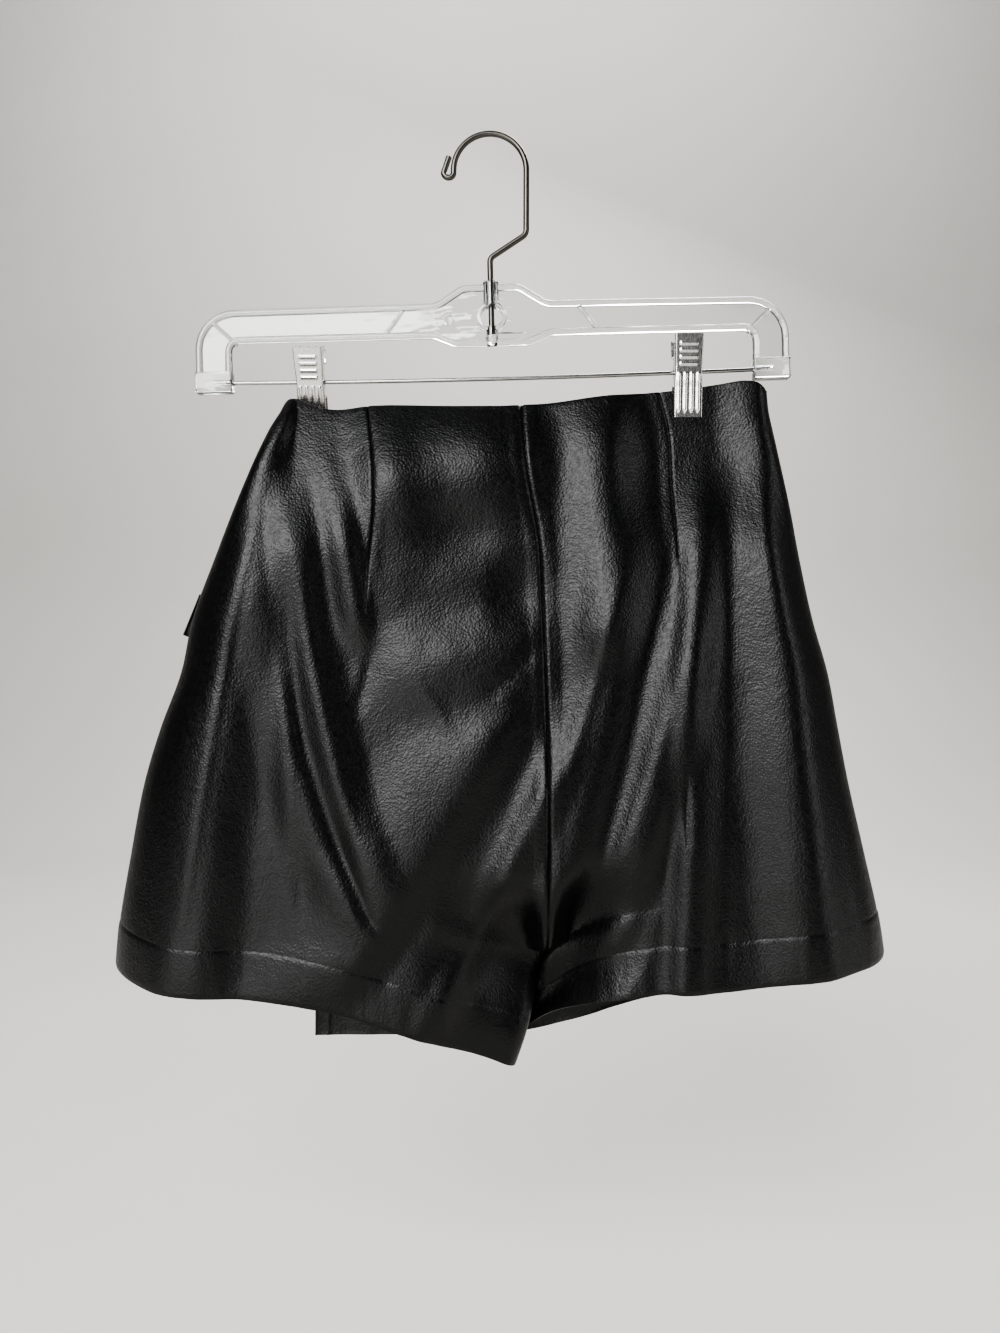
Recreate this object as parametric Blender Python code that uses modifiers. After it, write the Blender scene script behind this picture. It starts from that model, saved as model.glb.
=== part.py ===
"""Wrap skort of black coated cloth, hung by its waist from a clear clip hanger.

Metres, +Z up. The origin is the inside top of the hanger's hook, where a nail or
rail carries it. +X is the wearer's right, +Y is towards the wall that the front of
the skort faces, so the back of the skort faces -Y.

The cloth is a wall through rings: each panel runs from a side fold to the centre
seam or inseam, and from the waist edge to the hem. Tables hold lengths in
millimetres. X in a table is the place where the line shows in the hanger's plane
from EYE, and `out_to_depth` carries it along its sight line to where the cloth lies.
"""
import bpy
import bmesh
import math
from mathutils import Matrix, Vector

MM = 0.001
COLLECTION = "wrap_skort_on_clip_hanger"

# Cloth
WALL = 1.2                 # thickness of the coated cloth
SEAM_GAP = 0.4             # between two panels that are sewn together
SIDE_SEAM = 20.0           # degrees past the side fold's edge, towards the front
STACK_SHIFT = -0.85        # centres the three pressed layers between a clip's jaws
LAYER_GAP = 0.5            # between two layers that lie on each other
EYE = (6.9, -600.0, -318.0)

# Hanger
TILT = math.radians(1.5)   # the bar rises to the wearer's right
HUB = (1.8, -108.3)        # centre of the ring in the hub, X and Z
HALF_SPAN = 178.0
BEAD = 4.4                 # thickness of the bead along both edges of the bar
WEB = 2.0                  # thickness of the web between the beads
HOOK_WIRE = 3.5
HOOK_RADIUS = 21.8
ROD = 2.5
ROD_LEVEL = -35.4          # below the hub
ROD_SAG = 1.8
ROD_REACH = 166.0
SOCKET = (22.0, 8.0, 12.3)
SOCKET_X = 167.0
FIT = 0.3                  # running clearance of metal in plastic or metal

# Clips: place along the bar, how far each has swung about the rod, and where on the
# hip's side of the clip the cloth begins and ends to open out
CLIPS = {
    "left": {"x": -109.0, "pitch": math.radians(20.0), "opens": (8.8, 14.5)},
    "right": {"x": 116.4, "pitch": 0.0, "opens": (14.0, 40.0)},
}
LEVEL_OUT = 45.0           # height below the left clip in which the cloth levels out
CLIP_SHEET = 0.9
TIP_BELOW_ROD = 27.7
SPRING_WIRE = 1.0
SPRING_SEAT = 1.9          # sheet, clearance and half the spring's wire

# Silhouette from the waist to the hem: height, X of the left fold and the right fold,
# depth of the back and of the front from the middle layer, radius of the side folds
SECTIONS = (
    # z, left, right, back, front, fold
    (-154.0, -121.0, 165.3, 5.0, 4.5, 5.0),
    (-165.0, -122.5, 166.5, 6.0, 5.0, 6.0),
    (-180.0, -131.0, 170.0, 8.5, 6.5, 9.0),
    (-218.0, -148.5, 178.8, 14.0, 9.0, 15.0),
    (-254.0, -163.0, 185.6, 19.0, 12.0, 19.0),
    (-290.0, -176.5, 193.4, 23.5, 14.5, 22.0),
    (-322.0, -183.5, 202.5, 27.0, 16.5, 24.0),
    (-354.0, -195.5, 208.5, 30.0, 18.5, 26.0),
    (-386.0, -205.2, 214.6, 32.5, 20.0, 28.0),
    (-432.0, -214.0, 225.0, 35.5, 22.0, 30.0),
    (-471.0, -220.5, 233.6, 37.5, 23.0, 31.0),
    (-500.0, -223.0, 237.6, 38.5, 23.5, 32.0),
)

# Waist edge: X and height, from the left ear to the right corner
WAIST = (
    (-123.0, -163.5), (-120.0, -160.6), (-115.0, -160.0), (-108.0, -163.0), (-95.0, -166.8),
    (-72.0, -165.4), (7.0, -165.0), (19.0, -164.2), (43.0, -161.8), (72.0, -157.8),
    (101.0, -154.6), (120.0, -152.4), (140.0, -149.6), (154.0, -148.2), (161.0, -149.2),
    (165.3, -152.0),
)

# Centre-back seam down to the crotch: height and X
CENTRE_BACK = (
    (-164.0, 19.5), (-204.0, 23.1), (-245.0, 30.4), (-285.0, 32.7),
    (-345.0, 35.1), (-395.0, 36.3), (-487.0, 35.7),
)
SEAM_TOP = (19.5, -164.2)  # where the seam meets the waist edge
CROTCH = -487.0
CROTCH_CURVE = 46.0        # height over which the seam turns under to the crotch

# Each leg: X and height of the inseam from the crotch to the hem, the depth that the
# inseam lies at there, and the height of the hem across the leg
LEGS = {
    "left": {
        "inseam": ((-487.0, 35.7), (-495.0, 30.6), (-523.0, 24.5), (-549.0, 15.5)),
        "inseam_depth": -17.0,
        "hem": (
            (-223.0, -494.5), (-204.0, -498.5), (-178.0, -500.9), (-126.0, -504.9),
            (-90.0, -511.0), (-52.0, -522.9), (-25.0, -532.4), (-6.0, -539.5), (15.5, -549.0),
        ),
    },
    "right": {
        "inseam": ((-487.0, 35.7), (-495.0, 31.4), (-515.0, 28.0), (-541.0, 14.0)),
        "inseam_depth": 11.0,
        "hem": (
            (14.0, -541.0), (24.0, -533.0), (40.5, -521.0), (66.0, -509.5), (93.0, -504.0),
            (110.0, -501.6), (144.0, -501.0), (188.0, -495.0), (211.0, -492.5), (237.6, -490.0),
        ),
    },
}
INSEAM_GAP = 0.5           # from the inseam to each panel, more than half the seam's gap
INSEAM_EDGE = 7.0          # half thickness of a leg's folded inner edge
INSEAM_LIP = 8.0           # width beside the inner edge that has its own close columns
INSEAM_RUN = 72.0          # width over which a leg fills out from its inner edge

BACK, FRONT, FOLD = 3, 4, 5  # columns of SECTIONS

# Largest folds of the back: X and height of the crest's top, bend and foot, its height
# (below 0 is a trough) and its width to the wearer's left and right
BACK_FOLDS = (
    # name, top, bend, foot, height, left, right
    ("left_edge_ridge", (-138, -205), (-166, -318), (-204, -530), 6.5, 30, 15),
    ("left_edge_trough", (-132, -235), (-150, -345), (-166, -540), -5.0, 20, 26),
    ("hip_ridge", (-104, -172), (-92, -236), (-76, -300), 4.5, 26, 12),
    ("knee_of_hip", (-128, -225), (-118, -300), (-112, -345), 3.0, 14, 10),
    ("thigh_trough", (-128, -285), (-110, -372), (-60, -500), -5.0, 16, 15),
    ("thigh_swell", (-66, -285), (-38, -372), (-66, -505), 6.5, 46, 34),
    ("cross_trough", (42, -330), (-18, -428), (-98, -545), -6.0, 24, 26),
    ("inseam_ridge", (40, -362), (8, -450), (-28, -560), 6.5, 24, 17),
    ("seat_left", (-52, -168), (-20, -200), (14, -236), 4.0, 32, 28),
    ("seat_crease", (-66, -212), (-18, -236), (26, -272), -4.0, 16, 16),
    ("seat_swell", (-46, -262), (-14, -286), (12, -306), 4.0, 24, 24),
    ("seat_fold", (-34, -330), (-6, -340), (28, -312), -3.0, 14, 16),
    ("seat_right_ridge", (94, -222), (72, -292), (36, -405), 6.0, 18, 20),
    ("seat_right_trough", (118, -245), (78, -338), (42, -500), -6.0, 18, 22),
    ("right_thigh_ridge", (122, -262), (106, -362), (50, -505), 6.5, 18, 26),
    ("dart_trough", (130, -165), (127, -340), (136, -540), -4.5, 16, 18),
    ("right_swell", (158, -205), (166, -330), (172, -470), 5.0, 26, 24),
)

# Soft folds of the wrap and the fronts, which face the wall
FRONT_FOLDS = (
    ("wrap_edge_roll", (-108, -200), (-98, -360), (-88, -560), 3.5, 18, 26),
    ("wrap_trough", (-84, -190), (-62, -340), (-48, -560), -4.0, 24, 24),
    ("wrap_ridge", (-52, -185), (-16, -330), (6, -560), 5.0, 30, 26),
    ("wrap_mid_trough", (14, -200), (40, -350), (58, -560), -4.5, 26, 26),
    ("wrap_right_ridge", (96, -172), (102, -330), (112, -560), 5.0, 30, 26),
    ("wrap_right_trough", (136, -185), (150, -330), (166, -560), -3.5, 20, 22),
)

# Wrap: X of its free edge at each height, and the height of its hem across the front
WRAP_EDGE = ((-158.0, -104.0), (-300.0, -104.0), (-547.0, -104.7))
WRAP_HEM = (
    (-104.7, -547.0), (-63.0, -546.5), (22.0, -545.5), (49.0, -539.0), (91.0, -527.0),
    (144.0, -515.0), (211.0, -500.0), (237.6, -490.5),
)
WRAP_AIR = 2.6             # room between the wrap and the shorts where it hangs free

TAB_WIDTH = 26.6
TAB_THICK = 2.0
TAB_END = (-178.5, -286.5)  # middle of the end that shows past the left fold
TAB_SLOPE = math.radians(22.0)


# ---------------------------------------------------------------- small helpers
def smooth(low, high, value):
    """0 below low, 1 above high, an S-curve between."""
    step = min(1.0, max(0.0, (value - low) / (high - low)))
    return step * step * (3.0 - 2.0 * step)


def read(rows, at, column=1):
    """Value of a table's column at a place along its first column, on a smooth curve."""
    if rows[0][0] > rows[-1][0]:
        rows = rows[::-1]
    at = min(max(at, rows[0][0]), rows[-1][0])
    index = 0
    while index < len(rows) - 2 and at > rows[index + 1][0]:
        index += 1
    before, start = rows[max(index - 1, 0)], rows[index]
    end, after = rows[index + 1], rows[min(index + 2, len(rows) - 1)]

    def slope(first, last):
        return (last[column] - first[column]) / (last[0] - first[0])

    run = end[0] - start[0]
    here = slope(start, end)
    leave = (slope(before, start) + here) / 2 if before is not start else here
    arrive = (slope(end, after) + here) / 2 if after is not end else here
    part = (at - start[0]) / run
    cube, square = part ** 3, part ** 2
    return (start[column] * (2 * cube - 3 * square + 1) + end[column] * (3 * square - 2 * cube)
            + run * (leave * (cube - 2 * square + part) + arrive * (cube - square)))


def out_to_depth(x, y):
    """X at depth y of a line that shows at x in the hanger's plane."""
    return EYE[0] + (x - EYE[0]) * (y - EYE[1]) / -EYE[1]


def as_seen(z, y):
    """Height in the hanger's plane at which a point at height z and depth y shows."""
    return EYE[2] + (z - EYE[2]) * -EYE[1] / (y - EYE[1])


def fold_height(folds, x, z):
    """Height of the table's folds at a place on the cloth."""
    total = 0.0
    for _name, top, bend, foot, height, left, right in folds:
        span = top[1] - foot[1]
        part = (top[1] - z) / span
        if part <= 0.0 or part >= 1.0:
            continue
        at = (top[1] - bend[1]) / span
        # quadratic through the three named points
        crest = (top[0] * (part - at) * (part - 1) / at
                 + bend[0] * part * (part - 1) / (at * (at - 1))
                 + foot[0] * part * (part - at) / (1 - at))
        lean = math.cos(math.atan2(foot[0] - top[0], span))
        off = (x - crest) * lean
        width = left if off < 0 else right
        if abs(off) >= width:
            continue
        ends = smooth(0.0, 0.28, part) * smooth(0.0, 0.2, 1.0 - part)
        total += height * ends * (1 + math.cos(math.pi * off / width)) / 2
    return total


def rod_height(x):
    """Height of the bowed rod at a place along the hanger, from the hub."""
    return ROD_LEVEL - ROD_SAG * (1 - (x / ROD_REACH) ** 2)


def hang(x, z):
    """X and Z in the part's frame of a place on the tilted hanger."""
    return (HUB[0] + x * math.cos(TILT) - z * math.sin(TILT),
            HUB[1] + x * math.sin(TILT) + z * math.cos(TILT))


def clip_place(side):
    """X and Z where a clip turns on the rod."""
    x = CLIPS[side]["x"]
    return hang(x, rod_height(x))


# ---------------------------------------------------------------- the cloth's form
def middle_layer(x, z):
    """Depth of the middle of the cloth: the left clip has swung out and takes it along."""
    rod_z = clip_place("left")[1]
    tip = rod_z - TIP_BELOW_ROD * math.cos(CLIPS["left"]["pitch"])
    below = min(max(tip - z, 0.0), LEVEL_OUT)
    level = below - below ** 2 / (2 * LEVEL_OUT)
    swung = math.tan(CLIPS["left"]["pitch"]) * (max(z, tip) - rod_z - level)
    settle = 1 - 0.65 * smooth(0.0, 150.0, tip - z)
    return swung * settle * (1 - smooth(-92.0, 90.0, x)) + STACK_SHIFT


def pinch(x, z):
    """1 where a clip presses the layers together, 0 where they hang free."""
    grip = 0.0
    for side, outward in (("left", -1), ("right", 1)):
        clip_x, rod_z = clip_place(side)
        tip = rod_z - TIP_BELOW_ROD * math.cos(CLIPS[side]["pitch"])
        off = (x - clip_x) * outward
        if off < 0:
            across = 1 - smooth(14.0, 48.0, -off)
        else:
            across = 1 - 0.9 * smooth(*CLIPS[side]["opens"], off)
        grip = max(grip, across * (1 - smooth(3.0, 85.0, tip - z)))
    return grip


def layer_depth(x, z, column):
    """Distance from the middle layer to the back (BACK) or the front (FRONT) face."""
    pressed = WALL + 0.25
    free = read(SECTIONS, z, column)
    return free + (pressed - free) * pinch(x, z)


def inner_line(leg, z):
    """X of a panel's inner edge: the centre seam, then the leg's inseam."""
    return read(CENTRE_BACK if z >= CROTCH else LEGS[leg]["inseam"], z)


def seam_sink(z):
    """How far the centre seam has turned under: 0 on the seat, 1 at the crotch."""
    part = min(1.0, max(0.0, (CROTCH + CROTCH_CURVE - z) / CROTCH_CURVE))
    return 1.0 - math.sqrt(1.0 - part * part)


def inseam_depth(leg, z):
    """Depth of the crotch point and of the inseam below it."""
    foot = LEGS[leg]["inseam"][-1][0]
    return LEGS[leg]["inseam_depth"] * smooth(0.0, 0.85, (CROTCH - z) / (CROTCH - foot))


def fill_out(off, edge, belly):
    """Depth at a distance from the inner edge: a round lip, then a slope to the belly."""
    lip = min(1.0, INSEAM_EDGE / abs(belly - edge))
    part = min(1.0, off / INSEAM_EDGE)
    turn = math.sqrt(1.0 - (1.0 - part) ** 2)
    return edge + (belly - edge) * (lip * turn + (1 - lip) * smooth(0.0, INSEAM_RUN, off))


def cloth_depth(x, z, face, folds, calm):
    """Depth of one face of the cloth where it hangs flat, with its folds."""
    sign = -1.0 if face == BACK else 1.0
    y = middle_layer(x, z) + sign * layer_depth(x, z, face)
    return y + sign * calm * (1 - pinch(x, z)) * fold_height(folds, x, as_seen(z, y))


def side_seam_turn(side_x, side_z, fold, face):
    """Angle round the side fold at which a panel ends, half the seam's gap short of it."""
    seam = math.radians(SIDE_SEAM)
    depth = layer_depth(side_x, side_z, FRONT)
    per_radian = math.hypot(fold * math.sin(seam), depth * math.cos(seam))
    return seam + (1 if face == FRONT else -1) * SEAM_GAP / 2 / per_radian


def panel_point(leg, face, column, drop):
    """A point on the outer face of a back or front panel, in metres.

    column is (turn, share, lip): the angle round the side fold, 0 at the fold's edge, +90
    degrees where the front is flat and -90 where the back is, or None on the side seam;
    the share of the flat width; and the distance covered within the inner edge's lip.
    drop is 0 at the waist, 1 at the crotch's height and 2 at the hem.
    """
    turn, flat_share, lip = column
    outward = -1.0 if leg == "left" else 1.0
    end = 0 if leg == "left" else -1
    side_top, side_foot = WAIST[end], LEGS[leg]["hem"][end]
    inner_foot = LEGS[leg]["inseam"][-1]

    crotch_share = (SEAM_TOP[1] - CROTCH) / (SEAM_TOP[1] - inner_foot[0])
    row = drop * crotch_share if drop <= 1 else crotch_share + (drop - 1) * (1 - crotch_share)
    side_z = side_top[1] + (side_foot[1] - side_top[1]) * row
    inner_z = SEAM_TOP[1] + (inner_foot[0] - SEAM_TOP[1]) * row
    side_x = read(SECTIONS, side_z, 1 if leg == "left" else 2)
    inner_x = inner_line(leg, inner_z) + outward * SEAM_GAP / 2
    fold = read(SECTIONS, side_z, FOLD)
    width = abs(inner_x - side_x)
    if turn is None:
        turn = side_seam_turn(side_x, side_z, fold, face)
    across = fold * (1 - math.cos(turn)) + (width - fold - INSEAM_LIP) * flat_share + lip
    x = side_x - outward * across
    share = across / width

    def edge_shape(table, start, finish):
        """How far an edge lies from the straight line between its two ends."""
        straight = start[1] + (finish[1] - start[1]) * share
        return read(table, start[0] + (finish[0] - start[0]) * share) - straight

    z = side_z + (inner_z - side_z) * share
    z += (1 - row) * edge_shape(WAIST, side_top, SEAM_TOP)
    z += row * edge_shape(LEGS[leg]["hem"], side_foot, inner_foot[::-1])
    off = width - across
    sink = seam_sink(inner_z)
    calm = smooth(2.0, 18.0, across) * (1 - sink * (1 - smooth(4.0, 26.0, off)))
    side = BACK if turn < 0 else FRONT
    flat = cloth_depth(x, z, side, BACK_FOLDS if side == BACK else FRONT_FOLDS, calm)
    if sink > 0 and abs(turn) > math.radians(89):
        edge = inseam_depth(leg, inner_z) + (-1 if side == BACK else 1) * INSEAM_GAP
        flat += sink * (fill_out(off, edge, flat) - flat)
    middle = middle_layer(x, z)
    y = middle + (flat - middle) * abs(math.sin(turn))
    return Vector((out_to_depth(x, y), y, z)) * MM


def wrap_point(share, drop, turn=math.pi / 2):
    """A point on the wrap's outer face: the fronts' points moved out by the lift.

    share is 0 at the right side seam and 1 at the free edge, drop 0 at the waist and 1 at
    the hem, and turn the angle round the right side fold.
    """
    side_top, side_foot = WAIST[-1], WRAP_HEM[-1]
    side_z = side_top[1] + (side_foot[1] - side_top[1]) * drop
    edge_top = read(WAIST, WRAP_EDGE[0][1])
    edge_z = edge_top + (WRAP_HEM[0][1] - edge_top) * drop
    side_x = read(SECTIONS, side_z, 2)
    edge_x = read(WRAP_EDGE, edge_z)
    fold = read(SECTIONS, side_z, FOLD)
    if turn is None:
        turn = side_seam_turn(side_x, side_z, fold, FRONT)
    across = fold * (1 - math.cos(turn)) + (side_x - edge_x - fold) * share
    x = side_x - across
    part = across / (side_x - edge_x)
    top = read(WAIST, side_top[0] + (WRAP_EDGE[0][1] - side_top[0]) * part)
    foot = read(WRAP_HEM, side_foot[0] + (WRAP_HEM[0][0] - side_foot[0]) * part)
    z = top + (foot - top) * drop
    calm = smooth(2.0, 18.0, across)
    middle = middle_layer(x, z)
    flat = cloth_depth(x, z, FRONT, FRONT_FOLDS, calm)
    y = middle + (flat - middle) * math.sin(turn)
    free = smooth(0.0, 30.0, top - z) * smooth(4.0, 34.0, across) * (1 - pinch(x, z))
    lift = WALL + LAYER_GAP + WRAP_AIR * free
    x_true = out_to_depth(x, y) + lift * math.cos(turn)
    return Vector((x_true, y + lift * math.sin(turn), z)) * MM


# ---------------------------------------------------------------- making objects
def new_collection(name):
    made = bpy.data.collections.new(name)
    bpy.context.scene.collection.children.link(made)
    return made


def material(name, colour, roughness, metallic=0.0, transmission=0.0):
    made = bpy.data.materials.new(name)
    made.use_nodes = True
    shader = made.node_tree.nodes["Principled BSDF"]
    shader.inputs["Base Color"].default_value = (*colour, 1.0)
    shader.inputs["Roughness"].default_value = roughness
    shader.inputs["Metallic"].default_value = metallic
    shader.inputs["Transmission Weight"].default_value = transmission
    return made


def add_mesh_object(name, mesh, look, collection):
    made = bpy.data.objects.new(name, mesh)
    made.data.materials.clear()
    made.data.materials.append(look)
    collection.objects.link(made)
    return made


def cloth_grid(name, columns, rows, place, look, collection, flip, thickness=WALL):
    """An open grid of faces on the cloth's outer side, given its wall by Solidify."""
    shape = bmesh.new()
    bmesh.ops.create_grid(shape, x_segments=len(columns) - 1, y_segments=len(rows) - 1, size=1)
    for vertex in shape.verts:
        column = round((vertex.co.x + 1) / 2 * (len(columns) - 1))
        row = round((vertex.co.y + 1) / 2 * (len(rows) - 1))
        vertex.co = place(columns[column], rows[row])
    if flip:
        bmesh.ops.reverse_faces(shape, faces=shape.faces)
    mesh = bpy.data.meshes.new(name)
    shape.to_mesh(mesh)
    shape.free()
    mesh.shade_smooth()
    made = add_mesh_object(name, mesh, look, collection)
    wall = made.modifiers.new("wall", "SOLIDIFY")
    wall.thickness = thickness * MM
    wall.offset = -1.0
    wall.use_even_offset = False
    wall.use_rim = True
    return made


def wire(name, points, thickness, look, collection, closed=False, facets=2):
    """A round wire or bead along points, with filled ends."""
    curve = bpy.data.curves.new(name, "CURVE")
    curve.dimensions = "3D"
    curve.bevel_depth = thickness / 2 * MM
    curve.bevel_resolution = facets
    curve.use_fill_caps = True
    line = curve.splines.new("POLY")
    line.points.add(len(points) - 1)
    line.use_cyclic_u = closed
    for point, place in zip(line.points, points):
        point.co = (*(Vector(place) * MM), 1.0)
    curve.materials.append(look)
    made = bpy.data.objects.new(name, curve)
    collection.objects.link(made)
    return made


def flat_plate(name, outline, thickness, look, collection):
    """A plate in the XZ plane with the given outline."""
    curve = bpy.data.curves.new(name, "CURVE")
    curve.dimensions = "2D"
    curve.fill_mode = "BOTH"
    curve.extrude = thickness / 2 * MM
    line = curve.splines.new("POLY")
    line.points.add(len(outline) - 1)
    line.use_cyclic_u = True
    for point, (x, z) in zip(line.points, outline):
        point.co = (x * MM, z * MM, 0.0, 1.0)
    curve.materials.append(look)
    made = bpy.data.objects.new(name, curve)
    made.rotation_euler = (math.pi / 2, 0.0, 0.0)
    collection.objects.link(made)
    return made


def block(name, size, place, look, collection):
    bpy.ops.mesh.primitive_cube_add(size=1.0, location=Vector(place) * MM)
    made = bpy.context.object
    made.name = name
    made.data.transform(Matrix.Diagonal((*(Vector(size) * MM), 1.0)))
    made.data.materials.append(look)
    move_to(made, collection)
    return made


def rod_shape(name, radius, length, place, axis, look, collection, sides=16):
    """A cylinder along X, Y or Z."""
    turns = {"x": (0.0, math.pi / 2, 0.0), "y": (math.pi / 2, 0.0, 0.0), "z": (0.0, 0.0, 0.0)}
    bpy.ops.mesh.primitive_cylinder_add(
        vertices=sides, radius=radius * MM, depth=length * MM,
        location=Vector(place) * MM, rotation=turns[axis])
    made = bpy.context.object
    made.name = name
    made.data.materials.append(look)
    move_to(made, collection)
    return made


def move_to(thing, collection):
    for old in list(thing.users_collection):
        old.objects.unlink(thing)
    collection.objects.link(thing)


def as_mesh(thing):
    """The object with its curve or modifiers turned into a mesh in world space."""
    bpy.context.view_layer.update()
    shown = thing.evaluated_get(bpy.context.evaluated_depsgraph_get())
    mesh = bpy.data.meshes.new_from_object(shown)
    mesh.transform(thing.matrix_world)
    shape = bmesh.new()
    shape.from_mesh(mesh)
    bmesh.ops.remove_doubles(shape, verts=shape.verts, dist=0.02 * MM)
    shape.to_mesh(mesh)
    shape.free()
    name, look = thing.name, thing.active_material
    collection = thing.users_collection[0]
    bpy.data.objects.remove(thing)
    return add_mesh_object(name, mesh, look, collection)


def join_or_cut(target, other, operation, cutters):
    """Adds a solid to the target or takes it away, and keeps the tool out of the build."""
    step = target.modifiers.new(other.name, "BOOLEAN")
    step.operation = operation
    step.solver = "EXACT"
    step.object = other
    move_to(other, cutters)
    other.hide_render = True
    other.display_type = "WIRE"


def rounded(corners, steps=5):
    """Outline through corners, each a (x, z, radius) turned into an arc."""
    path = []
    for index, (x, z, radius) in enumerate(corners):
        if radius == 0.0:
            path.append((x, z))
            continue
        here = Vector((x, z))
        back = (Vector(corners[index - 1][:2]) - here).normalized()
        ahead = (Vector(corners[index + 1][:2]) - here).normalized()
        half = back.angle(ahead) / 2
        reach = radius / math.tan(half)
        centre = here + (back + ahead).normalized() * (radius / math.sin(half))
        first = here + back * reach - centre
        sweep = math.pi - 2 * half
        if back.x * ahead.y - back.y * ahead.x > 0:
            sweep = -sweep
        for step in range(steps + 1):
            spin = Matrix.Rotation(sweep * step / steps, 2)
            path.append(tuple(centre + spin @ first))
    return path


# ---------------------------------------------------------------- skort
TOP_ROWS = 1.3             # above 1, the rows lie closer together towards the waist


def panel_columns(face, folds, flats):
    """Columns of a panel, closer together on its side fold and at its inner edge."""
    sign = -1 if face == BACK else 1
    columns = [(None, 0.0, 0.0)] + [(math.radians(angle), 0.0, 0.0) for angle in folds]
    columns += [(sign * math.pi / 2, step / flats, 0.0) for step in range(1, flats + 1)]
    columns += [(sign * math.pi / 2, 1.0, INSEAM_LIP * part) for part in (0.5, 0.84, 1.0)]
    return columns


def panel_rows(above, zone, below):
    """Rows of a panel, closer together at the waist and where the seam turns under."""
    start = (SEAM_TOP[1] - CROTCH - CROTCH_CURVE) / (SEAM_TOP[1] - CROTCH)
    rows = [start * (step / above) ** TOP_ROWS for step in range(above)]
    rows += [start + (1 - start) * math.sin(math.pi / 2 * step / zone) for step in range(zone)]
    rows += [1 + step / below for step in range(below + 1)]
    return rows


def make_skort(cloth, collection):
    rows = panel_rows(12, 5, 5)
    back = panel_columns(BACK, (SIDE_SEAM - 6, 0, -22, -44, -66, -90), 17)
    front = panel_columns(FRONT, (SIDE_SEAM + 6, 45, 68, 90), 11)
    for leg in LEGS:
        cloth_grid(f"back_{leg}", back, rows,
                   lambda column, drop: panel_point(leg, BACK, column, drop),
                   cloth, collection, flip=leg == "left")
        cloth_grid(f"front_{leg}", front, rows,
                   lambda column, drop: panel_point(leg, FRONT, column, drop),
                   cloth, collection, flip=leg == "right")
    turns = [None] + [math.radians(angle) for angle in (SIDE_SEAM + 6, 45, 68)]
    columns = [(0.0, turn) for turn in turns] + [(step / 19, math.pi / 2) for step in range(20)]
    cloth_grid("wrap_panel", columns, [(step / 18) ** TOP_ROWS for step in range(19)],
               lambda column, drop: wrap_point(column[0], drop, column[1]),
               cloth, collection, flip=True)
    make_strap(cloth, collection)


def make_strap(cloth, collection):
    """Flat strap from the wrap's free edge across the left front and past the left fold."""
    along = Vector((math.cos(TAB_SLOPE), -math.sin(TAB_SLOPE)))
    across = Vector((math.sin(TAB_SLOPE), math.cos(TAB_SLOPE)))

    def place(share, width):
        start = Vector(TAB_END) + across * width
        edge_x = read(WRAP_EDGE, start.y - 27.0) - SEAM_GAP
        x, z = start + along * (share * (edge_x - start.x) / along.x)
        fold_x = read(SECTIONS, z, 1) + 0.5 * read(SECTIONS, z, FOLD)
        y = cloth_depth(max(x, fold_x), z, FRONT, FRONT_FOLDS, 1.0)
        y += TAB_THICK + 1.0 - 0.25 * max(0.0, fold_x - x)
        return Vector((out_to_depth(x, y), y, z)) * MM

    cloth_grid("strap_tab", [step / 8 for step in range(9)],
               [TAB_WIDTH * part for part in (-0.5, -0.17, 0.17, 0.5)],
               place, cloth, collection, flip=True, thickness=TAB_THICK)


# ---------------------------------------------------------------- hanger
def bar_lines():
    """The bar's two bead lines, hub at 0, from the left socket over to the right one."""
    leg_out, leg_in = HALF_SPAN - BEAD / 2, HALF_SPAN - SOCKET[0] + BEAD / 2
    foot = ROD_LEVEL + SOCKET[2] / 2 - 2.0
    outer = [(leg_out, foot, 0.0), (leg_out, 5.8, 21.6), (33.0, 6.9, 12.0), (16.5, 17.4, 10.0)]
    inner = [(leg_in, foot, 0.0), (leg_in, -10.1, 7.0), (35.0, -10.1, 12.0), (22.0, -15.6, 10.0)]
    lines = []
    for half in (outer, inner):
        mirrored = [(-x, z, radius) for x, z, radius in half]
        lines.append(rounded(mirrored + half[::-1]))
    return lines


def on_hanger(thing):
    """Turns a solid made about the hub into the hanger's place and tilt."""
    thing.matrix_world = (Matrix.Translation(Vector((HUB[0], 0.0, HUB[1])) * MM)
                          @ Matrix.Rotation(-TILT, 4, "Y") @ thing.matrix_world)


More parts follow.
